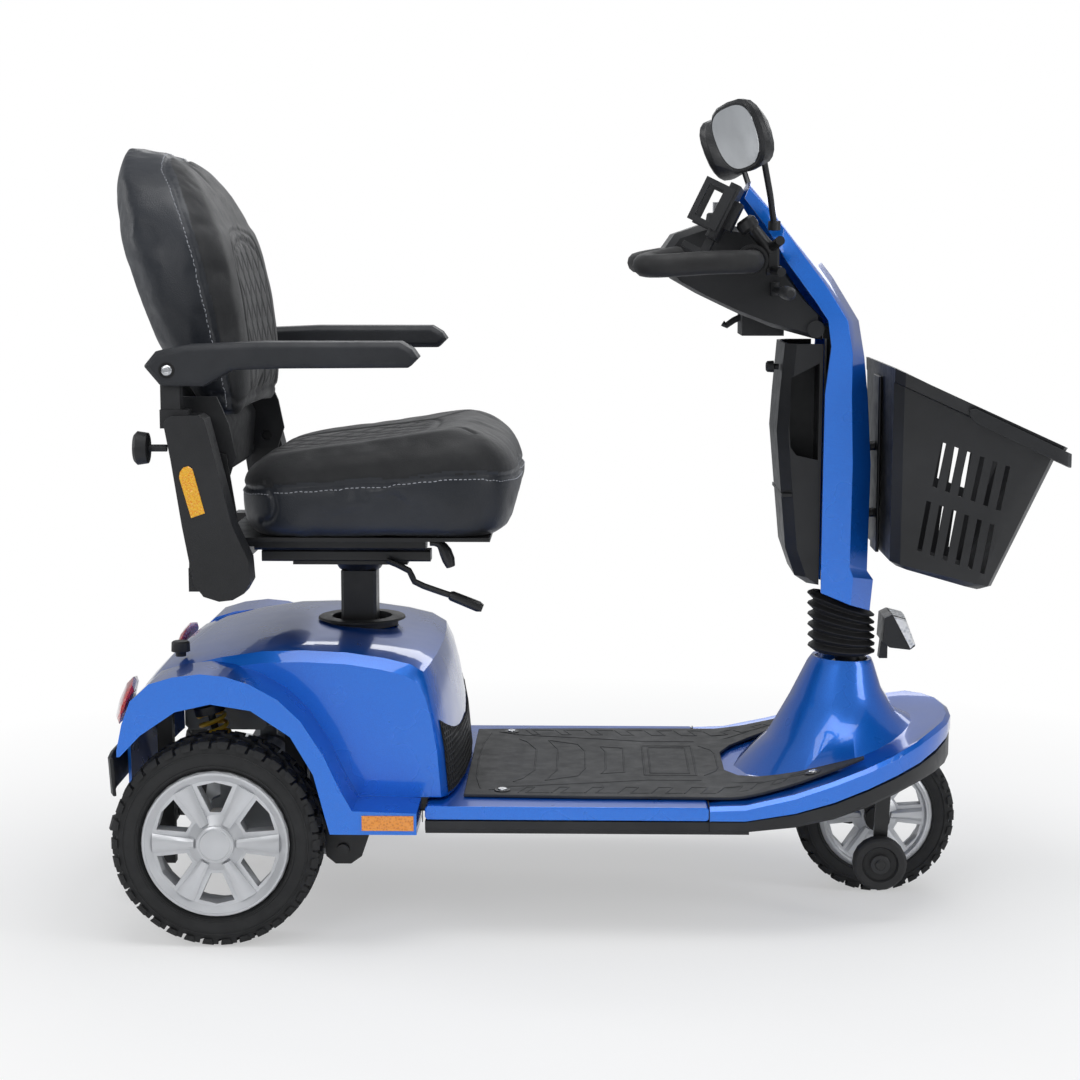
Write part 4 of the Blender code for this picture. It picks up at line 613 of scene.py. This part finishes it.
def path_samples(points, spacing):
    """Evenly spaced points on a smooth open curve through the given ones."""
    points = [Vector(p) for p in points]
    fine = []
    for i in range(len(points) - 1):
        a, b = points[max(i - 1, 0)], points[i]
        c, d = points[i + 1], points[min(i + 2, len(points) - 1)]
        for k in range(24):
            t = k / 24
            fine.append(0.5 * ((2 * b) + (c - a) * t + (2 * a - 5 * b + 4 * c - d) * t * t +
                    (3 * b - a - 3 * c + d) * t ** 3))
    fine.append(points[-1])
    out = [fine[0]]
    travelled = 0.0
    for i in range(1, len(fine)):
        piece = (fine[i] - fine[i - 1]).length
        while travelled + piece >= spacing:
            share = (spacing - travelled) / max(piece, 1e-9)
            fine[i - 1] = fine[i - 1].lerp(fine[i], share)
            out.append(fine[i - 1].copy())
            piece = (fine[i] - fine[i - 1]).length
            travelled = 0.0
        travelled += piece
    return out


def grooved(obj, paths, width, depth):
    """Press seams into a pad: every vertex near a path sinks along its normal."""
    mesh = obj.data
    tree = BVHTree.FromObject(obj, bpy.context.evaluated_depsgraph_get())
    spots = []
    for path in paths:
        for point in path_samples(path, 0.003):
            hit = tree.find_nearest(point)[0]
            spots.append(tuple(hit))
    spots = np.array(spots)
    points = points_of(mesh)
    normals = np.empty(len(points) * 3)
    mesh.vertices.foreach_get("normal", normals)
    normals = normals.reshape(-1, 3)
    nearest = np.full(len(points), 1.0)
    for spot in spots:
        box = np.abs(points - spot).max(axis=1) < width * 3
        nearest[box] = np.minimum(nearest[box], np.linalg.norm(points[box] - spot, axis=1))
    sink = depth * np.exp(-((nearest / width) ** 2))
    mesh.vertices.foreach_set("co", (points - normals * sink[:, None]).ravel())
    mesh.update()


def quilted(obj, inside, flat, pitch, depth):
    """Pillows between diagonal stitch lines: inside gives a 0..1 mask, flat the (u, v) of each point."""
    mesh = obj.data
    points = points_of(mesh)
    normals = np.empty(len(points) * 3)
    mesh.vertices.foreach_get("normal", normals)
    normals = normals.reshape(-1, 3)
    mask = inside(points, normals)
    u, v = flat(points)
    first = np.abs(((u / pitch[0] + v / pitch[1]) % 1.0) - 0.5) * 2
    second = np.abs(((u / pitch[0] - v / pitch[1]) % 1.0) - 0.5) * 2
    near = np.minimum(1 - first, 1 - second)
    sink = depth * np.exp(-((near / 0.17) ** 2)) * mask
    mesh.vertices.foreach_set("co", (points - normals * sink[:, None]).ravel())
    mesh.update()


def stitched(name, pad, paths, body, lift=0.0004, dash=0.0042, gap=0.0024, radius=0.00055):
    """Rows of separate thread stitches lying on a pad."""
    tree = BVHTree.FromObject(pad, bpy.context.evaluated_depsgraph_get())
    build = Build()
    for path in paths:
        samples = path_samples(path, dash + gap)
        for i in range(len(samples) - 1):
            start = samples[i]
            end = start.lerp(samples[i + 1], dash / (dash + gap))
            ends = []
            for point in (start, start.lerp(end, 0.5), end):
                spot, normal = tree.find_nearest(point)[:2]
                ends.append((spot, normal))
            line = [ends[0][0] - ends[0][1] * radius, ends[1][0] + ends[1][1] * lift,
                ends[2][0] - ends[2][1] * radius]
            build.tube(line, radius, 6)
    return build.piece(name, [MAT["thread"]], body, "seat_vinyl", 60.0)


def paint_faces(obj, materials, chooser):
    mesh = obj.data
    mesh.materials.clear()
    for material in materials:
        mesh.materials.append(material)
    centres = np.empty(len(mesh.polygons) * 3)
    normals = np.empty(len(mesh.polygons) * 3)
    mesh.polygons.foreach_get("center", centres)
    mesh.polygons.foreach_get("normal", normals)
    chosen = chooser(centres.reshape(-1, 3), normals.reshape(-1, 3)).astype(np.int32)
    mesh.polygons.foreach_set("material_index", chosen)
    mesh.shade_smooth()


SEAT_CENTRE = -0.2720 + SHIFT


def seat_crown(gx):
    """Height of the seat's top on its centre line: rising forward, and rolled off at the front edge."""
    rise = 0.036 * min(1.0, max(0.0, (gx + 0.44) / 0.27))
    roll = 0.012 * max(0.0, (gx + 0.135) / 0.045)
    return 0.612 + rise - roll


def seat_ring(share, size, inset, count=72):
    """One level of the cushion, from 0 at its base to 1 at its crown."""
    ring = []
    for x, y in superellipse((0.1860 - inset) * size, (0.225 - inset) * size, 5.0, count):
        px = SEAT_CENTRE + x
        gx = px - SHIFT
        crown = seat_crown(gx)
        side = min(1.0, abs(y) / 0.20)
        dish = 0.014 * (1 - side ** 2) * max(0.0,
            (share - 0.9) / 0.1) * (0.4 + 0.6 * min(1.0, max(0.0, (-0.16 - gx) / 0.12)))
        ring.append((px, y, 0.5105 + (crown - dish - inset - 0.5105) * share))
    return ring


def seat_cushion():
    levels = [(0.0, 0.90), (0.05, 0.955), (0.16, 0.982), (0.30, 0.995), (0.45, 1.0), (0.58, 1.0),
        (0.70, 0.993), (0.80, 0.972), (0.88, 0.935), (0.94, 0.885), (0.98, 0.82), (1.0, 0.72), (1.0, 0.5),
        (1.0, 0.25)]
    pad = stuffed("seat_cushion_cover", [seat_ring(f, size, 0.0035) for f, size in levels], 0.006)
    points = points_of(pad.data)
    points[:, 2] = np.maximum(points[:, 2], 0.5103)
    points[:, 1] = np.clip(points[:, 1], -0.2252, 0.2252)
    pad.data.vertices.foreach_set("co", points.ravel())
    edge = seat_ring(0.60, 1.0, 0.0)
    start = 36
    edge = [edge[(start + k) % 72] for k in range(73)]
    crease = []
    for s in (1, -1):
        crease.append([(x + SHIFT, s * y, 0.66) for x,
                y in ((-0.440, 0.118), (-0.340, 0.122), (-0.255, 0.112), (-0.215, 0.085), (-0.208, 0.0))])
        crease.append([(x + SHIFT, s * y, 0.66) for x,
                y in ((-0.222, 0.095), (-0.180, 0.135), (-0.140, 0.165))])
        crease.append([(x + SHIFT, s * 0.228, z) for x,
                z in ((-0.424, 0.590), (-0.406, 0.565), (-0.402, 0.545), (-0.414, 0.527), (-0.440, 0.514))])

    def panel(p, n):
        gx = p[:, 0] - SHIFT
        front = np.clip((-0.212 - gx - 0.35 * np.maximum(0, np.abs(p[:, 1]) - 0.06)) / 0.006, 0, 1)
        wide = np.clip((0.114 - np.abs(p[:, 1])) / 0.006, 0, 1)
        return front * wide * np.clip((gx + 0.446) / 0.006, 0, 1) * (n[:, 2] > 0.5)

    quilted(pad, panel, lambda p: (p[:, 0], p[:, 1]), (0.044, 0.044), 0.0016)
    grooved(pad, [edge], 0.0036, 0.0030)
    grooved(pad, crease, 0.0038, 0.0026)
    paint_faces(pad, [MAT["vinyl"], MAT["vinyl_matt"]], lambda c,
        n: (c[:, 2] > 0.5105 + 0.60 * (0.1005 + 0.036 * np.clip((c[:, 0] - SHIFT + 0.44) / 0.27, 0,
                    1))) & (n[:, 2] > -0.2))
    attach(pad, "seat")
    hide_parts("seat_cushion")
    lower = [(x, y, z - 0.0052) for x, y, z in edge]
    stitched("seat_cushion_stitching", pad, [lower], "seat")


BACK_SPINE = np.array([
    (0.655, -0.452, -0.478, 0.150), (0.668, -0.444, -0.492, 0.176), (0.705, -0.441, -0.515, 0.192),
    (0.750, -0.442, -0.549, 0.203), (0.810, -0.449, -0.573, 0.210), (0.870, -0.462, -0.594, 0.206),
    (0.920, -0.480, -0.606, 0.190), (0.960, -0.502, -0.612, 0.158), (0.988, -0.526, -0.611, 0.112),
    (1.004, -0.552, -0.606, 0.060),
])


def back_section(z, inset):
    front, rear, half = (float(np.interp(z, BACK_SPINE[:, 0], BACK_SPINE[:, k])) for k in (1, 2, 3))
    return front - inset, rear + inset, half - inset


def seat_back():
    rings = []
    inset = 0.0035
    for z in np.concatenate([[0.6585, 0.662], np.linspace(0.668, 0.985, 22), [0.992, 0.998, 1.0005]]):
        front, rear, half = back_section(z, inset)
        middle, deep = (front + rear) / 2, (front - rear) / 2
        ring = []
        for x, y in superellipse(deep, half, 3.4, 64):
            wing = 0.012 * (abs(y) / half) ** 2 if x > 0 else -0.006 * (abs(y) / half) ** 2
            ring.append((middle + x + wing + SHIFT, y, z + (0.012 * (-x / deep) if z > 0.9 else 0.0)))
        rings.append(ring)
    pad = stuffed("seat_back_cover", rings, 0.006)
    points = points_of(pad.data)
    points[:, 2] = np.maximum(points[:, 2], 0.6555)
    pad.data.vertices.foreach_set("co", points.ravel())

    def edge_at(z, share_x, share_y):
        front, rear, half = back_section(z, 0.0)
        middle, deep = (front + rear) / 2, (front - rear) / 2
        return middle + deep * share_x + SHIFT, half * share_y

    levels = [0.668, 0.700, 0.750, 0.800, 0.850, 0.900, 0.935, 0.962, 0.984]
    rail = []
    for z in levels:
        x, y = edge_at(z, 0.62, 1.0)
        rail.append((x, -y, z))
    over = [(-0.545 + SHIFT, -0.055, 1.000), (-0.548 + SHIFT, 0.0, 1.012), (-0.545 + SHIFT, 0.055, 1.000)]
    full = rail + over + [(x, -y, z) for x, y, z in reversed(rail)]
    panel_edge = [(-0.40 + SHIFT, y, z) for y,
        z in ((-0.112, 0.664), (-0.116, 0.740), (-0.118, 0.820), (-0.112, 0.872), (-0.086, 0.915),
            (-0.045, 0.938), (0.0, 0.944))]
    panel_edge += [(x, -y, z) for x, y, z in reversed(panel_edge[:-1])]
    arch = [(-0.40 + SHIFT, y, z) for y, z in ((-0.115, 0.858), (-0.070, 0.893), (0.0, 0.906),
            (0.070, 0.893), (0.115, 0.858))]
    hem = []
    for k in range(25):
        t = math.pi * (k / 24 - 0.5)
        hem.append((-0.478 + SHIFT + 0.060 * math.cos(t), 0.205 * math.sin(t), 0.678))

    def panel(p, n):
        top = 0.900 - 0.046 * (np.abs(p[:, 1]) / 0.115) ** 2
        inside = np.clip((0.110 - np.abs(p[:, 1])) / 0.006, 0, 1)
        return inside * np.clip((top - p[:, 2]) / 0.006, 0, 1) * np.clip((p[:, 2] - 0.684) / 0.006, 0,
            1) * (n[:, 0] > 0.3)

    quilted(pad, panel, lambda p: (p[:, 2], p[:, 1]), (0.062, 0.044), 0.0016)
    grooved(pad, [full], 0.0036, 0.0028)
    grooved(pad, [panel_edge, arch, hem], 0.0036, 0.0024)

    def faces(c, n):
        front, rear = np.interp(c[:, 2], BACK_SPINE[:, 0], BACK_SPINE[:, 1]), np.interp(c[:, 2],
            BACK_SPINE[:, 0], BACK_SPINE[:, 2])
        return (c[:, 0] - SHIFT > (front + rear) / 2 + 0.31 * (front - rear)) & (c[:, 2] < 1.0)

    paint_faces(pad, [MAT["vinyl"], MAT["vinyl_matt"]], faces)
    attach(pad, "seat_back")
    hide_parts("seat_back_pad")
    behind = [(x - 0.0052, y, z) for x, y, z in full]
    stitched("seat_back_stitching", pad, [behind], "seat_back")


seat_cushion()
seat_back()


# ---------------------------------------------------------------- reflectors, lenses, mirrors
def facets(name, body, slot, outlines, normal, depth, material):
    build = Build()
    for outline in outlines:
        build.plate(outline, normal, depth, 0.0007)
    return build.piece(name, [material], body, slot, 30.0)


for tag, s in (("left", 1), ("right", -1)):
    arc = [(-0.5010, 0.5960), (-0.4995, 0.6030), (-0.4950, 0.6085), (-0.4890, 0.6100), (-0.4845, 0.6070),
        (-0.4825, 0.6010), (-0.4700, 0.5520), (-0.4870, 0.5460)]
    facets(f"arm_reflector_{tag}", f"arm_{tag}", "red_lens", [row(arc, s * 0.2878)], (0, s, 0), 0.0016,
        MAT["amber"])
    strip = [(-0.282, 0.1535), (-0.217, 0.1535), (-0.217, 0.1725), (-0.282, 0.1725)]
    facets(f"fender_reflector_{tag}", "chassis", "red_lens", [row(strip, s * 0.2880)], (0, s, 0), 0.0018,
        MAT["orange"])
    centre = Vector((MIRROR_CENTRE[0] + SHIFT, s * MIRROR_CENTRE[1], MIRROR_CENTRE[2]))
    up = Vector((-0.34, 0, 0.94)).normalized()
    toe = Matrix.Rotation(-s * math.radians(MIRROR_TOE), 3, up)
    back = toe @ Vector((-0.94, 0, -0.34)).normalized()
    glass = Build()
    outline = []
    for k in range(40):
        t = 2 * math.pi * k / 40
        wide = 0.062 * 0.86 * math.copysign(abs(math.cos(t)) ** 0.7,
            math.cos(t)) * (1.0 + 0.10 * math.sin(t))
        tall = 0.0445 * 0.86 * math.copysign(abs(math.sin(t)) ** 0.8, math.sin(t))
        outline.append(centre + toe @ Vector((0, 1, 0)) * wide + up * tall + back * 0.0001)
    glass.plate(outline, back, 0.0010, 0.0004)
    glass.piece(f"mirror_{tag}_glass", [MAT["glass"]], f"mirror_{tag}", "key_steel", 30.0)


def headlight_lens():
    """Faceted wedge for the clear lens over the front of the lamp. The bright bowl behind it is not built; its
    glare is painted into the light grey lens colour as a painted reflection.
    """
    build = Build()
    section = [(0.4085, 0.3858), (0.4265, 0.3812), (0.4415, 0.3425), (0.4350, 0.3362)]
    rings = []
    for y, scale in ((-0.0325, 0.78), (-0.0300, 0.96), (-0.015, 1.04), (0.0, 1.06), (0.015, 1.04),
        (0.0300, 0.96), (0.0325, 0.78)):
        middle = Vector((0.422, 0.0, 0.362))
        ring = []
        for x, z in section:
            p = middle + (Vector((x, 0, z)) - middle) * scale
            ring.append((p.x + SHIFT, y, p.z))
        rings.append(ring)
    build.loft(rings)
    build.piece("headlight_lens", [MAT["lamp"]], "chassis", "key_steel", 25.0)


headlight_lens()


# ---------------------------------------------------------------- grille, mat, seams and screws
def hood_grille():
    """Honeycomb mesh wrapped over the lower front of the rear hood, on a near-black sheet that is painted shade
    seen through the holes.
    """
    tree = node_tree("rear_hood")
    build = Build()

    def on_hood(y, z, lift):
        hit = tree.ray_cast(Vector((0.10, y, z)), Vector((-1, 0, 0)))
        return None if hit[0] is None else hit[0] + Vector((lift, 0, 0))

    def top_edge(y):
        return 0.2420 + 0.0300 * (abs(y) / 0.19) ** 3

    # Near-black backing quads on the hood: painted shade behind the honeycomb holes.
    ys = np.linspace(-0.196, 0.196, 50)
    for i in range(len(ys) - 1):
        for j in range(8):
            corners = []
            for y, share in ((ys[i], j / 8), (ys[i + 1], j / 8), (ys[i + 1], (j + 1) / 8),
                (ys[i], (j + 1) / 8)):
                corners.append(on_hood(y, 0.1790 + (top_edge(y) - 0.1790) * share, 0.0007))
            if None not in corners and max(abs(a.x - b.x) for a in corners for b in corners) < 0.02:
                build.add(corners, [(0, 1, 2, 3)], 0)
    pitch = 0.0088
    for j in range(12):
        for i in range(-24, 25):
            y = (i + 0.5 * (j % 2)) * pitch
            z = 0.1830 + j * pitch * 0.866
            if abs(y) > 0.190 or z > top_edge(y) - 0.004:
                continue
            outer, inner = [], []
            for k in range(6):
                t = math.pi / 6 + k * math.pi / 3
                outer.append(on_hood(y + 0.00508 * math.cos(t), z + 0.00508 * math.sin(t), 0.0018))
                inner.append(on_hood(y + 0.00400 * math.cos(t), z + 0.00400 * math.sin(t), 0.0018))
            if None in outer or None in inner:
                continue
            deep = [p - Vector((0.0014, 0, 0)) for p in inner]
            faces = []
            for k in range(6):
                n = (k + 1) % 6
                faces.append((k, n, 6 + n, 6 + k))
                faces.append((6 + k, 6 + n, 12 + n, 12 + k))
            build.add(outer + inner + deep, faces, 1)
    build.piece("hood_grille", [MAT["dark"], MAT["plastic_fine"]], "chassis", "black_plastic", 30.0)


def mat_top(x):
    table = ((0.190, 0.171), (0.230, 0.178), (0.275, 0.190), (0.357, 0.215))
    return float(np.interp(x, [a for a, _ in table], [b for _, b in table])) + 0.0048


def mat_relief():
    """Raised ridges of the floor mat: a framed centre with nested bars, and slanted blocks along both edges."""
    build = Build()

    def ridge(points, closed=False, wide=0.0014, high=0.0007):
        count = len(points)
        for i in range(count if closed else count - 1):
            a, b = Vector((*points[i], 0)), Vector((*points[(i + 1) % count], 0))
            steps = max(1, int((b - a).length / 0.02))
            for k in range(steps):
                p, q = a.lerp(b, k / steps), a.lerp(b, (k + 1) / steps)
                along = (q - p).normalized()
                side = Vector((-along.y, along.x, 0)) * wide
                rings = []
                for point in (p - along * 0.0004, q + along * 0.0004):
                    z = mat_top(point.x)
                    left, right = point + side, point - side
                    rings.append([(left.x + SHIFT, left.y, z - 0.0003),
                            ((point + side * 0.45).x + SHIFT, (point + side * 0.45).y, z + high),
                            ((point - side * 0.45).x + SHIFT, (point - side * 0.45).y, z + high),
                            (right.x + SHIFT, right.y, z - 0.0003)])
                build.loft(rings)

    for s in (1, -1):
        ridge([(-0.128, s * 0.168), (-0.100, s * 0.150), (0.010, s * 0.128), (0.080, s * 0.112),
                (0.150, s * 0.112)])
        ridge([(-0.140, s * 0.160), (-0.148, s * 0.100), (-0.150, 0.0)])
        for i in range(9):
            x = -0.090 + i * 0.043
            grow = 0.010 + 0.0022 * i
            y_in, y_out = 0.153 - 0.0005 * i, 0.181 if x < 0.16 else 0.176 - 0.10 * (x - 0.16)
            if x + grow > 0.285:
                continue
            ridge([(x, s * y_out), (x + 0.010, s * y_in), (x + 0.010 + grow, s * y_in),
                    (x + grow, s * y_out)], False)
            ridge([(x + grow, s * y_out), (x + 0.040, s * y_out)], False)
        ridge([(0.190, s * 0.125), (0.235, s * 0.150), (0.290, s * 0.160)])
    ridge([(-0.098, -0.124), (-0.086, -0.105), (-0.072, -0.060), (-0.072, 0.060), (-0.086, 0.105),
            (-0.098, 0.124)])
    ridge([(-0.056, -0.116), (-0.014, -0.092), (-0.004, -0.050), (-0.004, 0.050), (-0.014, 0.092),
            (-0.056, 0.116), (-0.042, 0.060), (-0.042, -0.060)], True)
    ridge([(0.018, -0.078), (0.049, -0.070), (0.049, 0.070), (0.018, 0.078), (0.024, 0.050),
            (0.024, -0.050)], True)
    ridge([(0.076, -0.085), (0.145, -0.085), (0.145, 0.085), (0.076, 0.085)], True, 0.0016)
    ridge([(0.084, -0.074), (0.136, -0.074), (0.136, 0.074), (0.084, 0.074)], True)
    ridge([(0.156, -0.085), (0.172, -0.060), (0.176, -0.040), (0.176, 0.040), (0.172, 0.060),
            (0.156, 0.085)])
    build.piece("floor_mat_relief", [MAT["mat"]], "chassis", "mat_rubber", 30.0)


def bolt(build, centre, normal, radius, socket=0.45, high=0.0030, washer=1.35):
    """Round-headed screw with a washer and a six-sided socket."""
    normal = Vector(normal).normalized()
    build.lathe([(-0.0008, radius * washer), (0.0006, radius * washer),
            (0.0010, radius * (washer - 0.08))], centre, normal, 28, 1)
    build.lathe([(0.0002, radius), (high * 0.55, radius), (high * 0.85, radius * 0.88),
            (high, radius * 0.66), (high, radius * socket * 1.15)], centre, normal, 24, 0, caps=False)
    side = normal.orthogonal().normalized()
    other = normal.cross(side)
    rings = []
    for along, r in ((high, socket), (high * 0.35, socket * 0.96)):
        rings.append([Vector(centre) + normal * along +
                (side * math.cos(k * math.pi / 3) +
                    other * math.sin(k * math.pi / 3)) * radius * r for k in range(6)])
    build.loft(rings, 0)
    build.lathe([(high, radius * socket * 1.16), (high - 0.0001, radius * socket * 0.90)], centre, normal,
        24, 0, caps=False)


hood_grille()
mat_relief()
deck_screws = Build()
for x, y in ((-0.111, 0.170), (0.292, 0.163)):
    for s in (1, -1):
        tilt = (-0.22, 0, 1) if x > 0.2 else (0, 0, 1)
        bolt(deck_screws, (x + SHIFT, s * y, mat_top(x) + 0.0004), tilt, 0.0062, washer=1.7)
deck_screws.piece("floor_mat_screws", [MAT["bright"], MAT["plastic_fine"]], "chassis", "key_steel", 30.0)


def seam_lines():
    """Thin dark joints between the deck's mouldings."""
    build = Build()
    for s in (1, -1):
        for x, low, high, y in ((0.154, 0.1405, 0.1712, 0.2352), (-0.2100, 0.1505, 0.1745, 0.2352)):
            build.plate(row([(x - 0.0006, low), (x + 0.0006, low), (x + 0.0006, high),
                        (x - 0.0006, high)], s * y), (0, s, 0), 0.0003)
        build.plate([(0.154 - 0.0006 + SHIFT, s * 0.2350, 0.1712),
                (0.154 + 0.0006 + SHIFT, s * 0.2350, 0.1712),
                (0.154 + 0.0006 + SHIFT, s * 0.2000, 0.1712),
                (0.154 - 0.0006 + SHIFT, s * 0.2000, 0.1712)], (0, 0, 1), 0.0003)
    build.piece("deck_seams", [MAT["dark"]], "chassis", "black_plastic", 30.0)


seam_lines()
for tag, s in (("left", 1), ("right", -1)):
    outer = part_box(f"armrest_{tag}")[0 if s < 0 else 1].y
    pivot_bolt = Build()
    bolt(pivot_bolt, (-0.5120 + SHIFT, outer, 0.7270), (0, s, 0), 0.0065, washer=1.5)
    pivot_bolt.piece(f"armrest_{tag}_screw", [MAT["bright"], MAT["dark"]], f"armrest_{tag}", "key_steel",
        30.0)
    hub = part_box(f"front_anti_tip_wheel_{tag}")
    cap = Build()
    bolt(cap, (0.380 + SHIFT, hub[0 if s < 0 else 1].y, 0.080), (0, s, 0), 0.0070, washer=1.8)
    cap.piece(f"front_anti_tip_{tag}_nut", [MAT["steel_black"], MAT["plastic_fine"]], f"anti_tip_{tag}",
        "black_steel", 30.0)


# ---------------------------------------------------------------- camera, light and floor
def area(name, location, target, size, power, colour=(1, 1, 1)):
    light = bpy.data.lights.new(name, "AREA")
    light.shape = "RECTANGLE"
    light.size, light.size_y = size
    light.energy = power
    light.color = colour
    obj = bpy.data.objects.new(name, light)
    bpy.context.scene.collection.objects.link(obj)
    obj.location = location
    obj.rotation_mode = "QUATERNION"
    obj.rotation_quaternion = (Vector(target) - Vector(location)).to_track_quat("-Z", "Y")


area("sky_panel", (0.2, -0.3, 3.0), (0, 0, 0), (2.6, 1.7), 40)
area("near_panel", (-1.4, -3.0, 1.9), (0, 0, 0.45), (1.5, 1.5), 19)
area("rear_panel", (-3.0, 0.4, 1.5), (0, 0, 0.6), (0.9, 1.6), 16)
area("front_panel", (2.8, -1.4, 1.5), (0.2, 0, 0.6), (0.9, 1.6), 17)
area("far_panel", (0.4, 3.0, 1.9), (0, 0, 0.5), (3.0, 1.0), 20)


def studio_world():
    """White backdrop for the camera, and a dimmer even light on the object."""
    world = bpy.data.worlds.new("studio")
    world.use_nodes = True
    nodes, links = world.node_tree.nodes, world.node_tree.links
    shown = nodes["Background"]
    shown.inputs["Color"].default_value = (1.0, 1.0, 1.0, 1.0)
    lighting = nodes.new("ShaderNodeBackground")
    lighting.inputs["Color"].default_value = (0.93, 0.96, 1.0, 1.0)
    lighting.inputs["Strength"].default_value = 0.36
    ray = nodes.new("ShaderNodeLightPath")
    choice = nodes.new("ShaderNodeMixShader")
    links.new(ray.outputs["Is Camera Ray"], choice.inputs["Fac"])
    links.new(lighting.outputs["Background"], choice.inputs[1])
    links.new(shown.outputs["Background"], choice.inputs[2])
    links.new(choice.outputs["Shader"], nodes["World Output"].inputs["Surface"])
    bpy.context.scene.world = world


def studio_floor():
    """Pale floor that keeps the contact shadow and fades into the backdrop."""
    mesh = bpy.data.meshes.new("studio_floor")
    mesh.from_pydata([(-14, -9, 0), (14, -9, 0), (14, 22, 0), (-14, 22, 0)], [], [(0, 1, 2, 3)])
    look = Look("studio_floor", (0.92, 0.92, 0.92), 0.95)
    look.set("Specular IOR Level", 0.0)
    look.vary_colour(look.noise(3.0), (0.93, 0.93, 0.93))
    distance = look.node("ShaderNodeVectorMath", operation="LENGTH")
    look.link(look.place, distance.inputs[0])
    fade = look.ranged(distance.outputs["Value"], 0.70, 1.45, 0.45, 1.0)
    glow = look.node("ShaderNodeEmission")
    glow.inputs["Color"].default_value = (1.0, 1.0, 1.0, 1.0)
    ray = look.node("ShaderNodeLightPath")
    seen = look.node("ShaderNodeMath", operation="MULTIPLY")
    look.link(ray.outputs["Is Camera Ray"], seen.inputs[0])
    look.link(fade, seen.inputs[1])
    blend = look.node("ShaderNodeMixShader")
    look.link(seen.outputs["Value"], blend.inputs["Fac"])
    look.link(look.shader.outputs["BSDF"], blend.inputs[1])
    look.link(glow.outputs["Emission"], blend.inputs[2])
    look.link(blend.outputs["Shader"], look.tree.nodes["Material Output"].inputs["Surface"])
    mesh.materials.append(look.material)
    floor = bpy.data.objects.new("studio_floor", mesh)
    bpy.context.scene.collection.objects.link(floor)


studio_world()
studio_floor()

camera_data = bpy.data.cameras.new("camera")
camera_data.lens = 72.07
camera_data.sensor_width = 36.0
camera = bpy.data.objects.new("camera", camera_data)
bpy.context.scene.collection.objects.link(camera)
camera.location = (SHIFT, -2.9064, 0.8786)
pitch, yaw = math.radians(7.792), math.radians(-1.300)
view = Vector((math.sin(yaw) * math.cos(pitch), math.cos(yaw) * math.cos(pitch), -math.sin(pitch)))
camera.rotation_mode = "QUATERNION"
camera.rotation_quaternion = view.to_track_quat("-Z", "Y")
camera_data.clip_start = 0.05
bpy.context.scene.camera = camera
bpy.context.scene.view_settings.view_transform = "Standard"
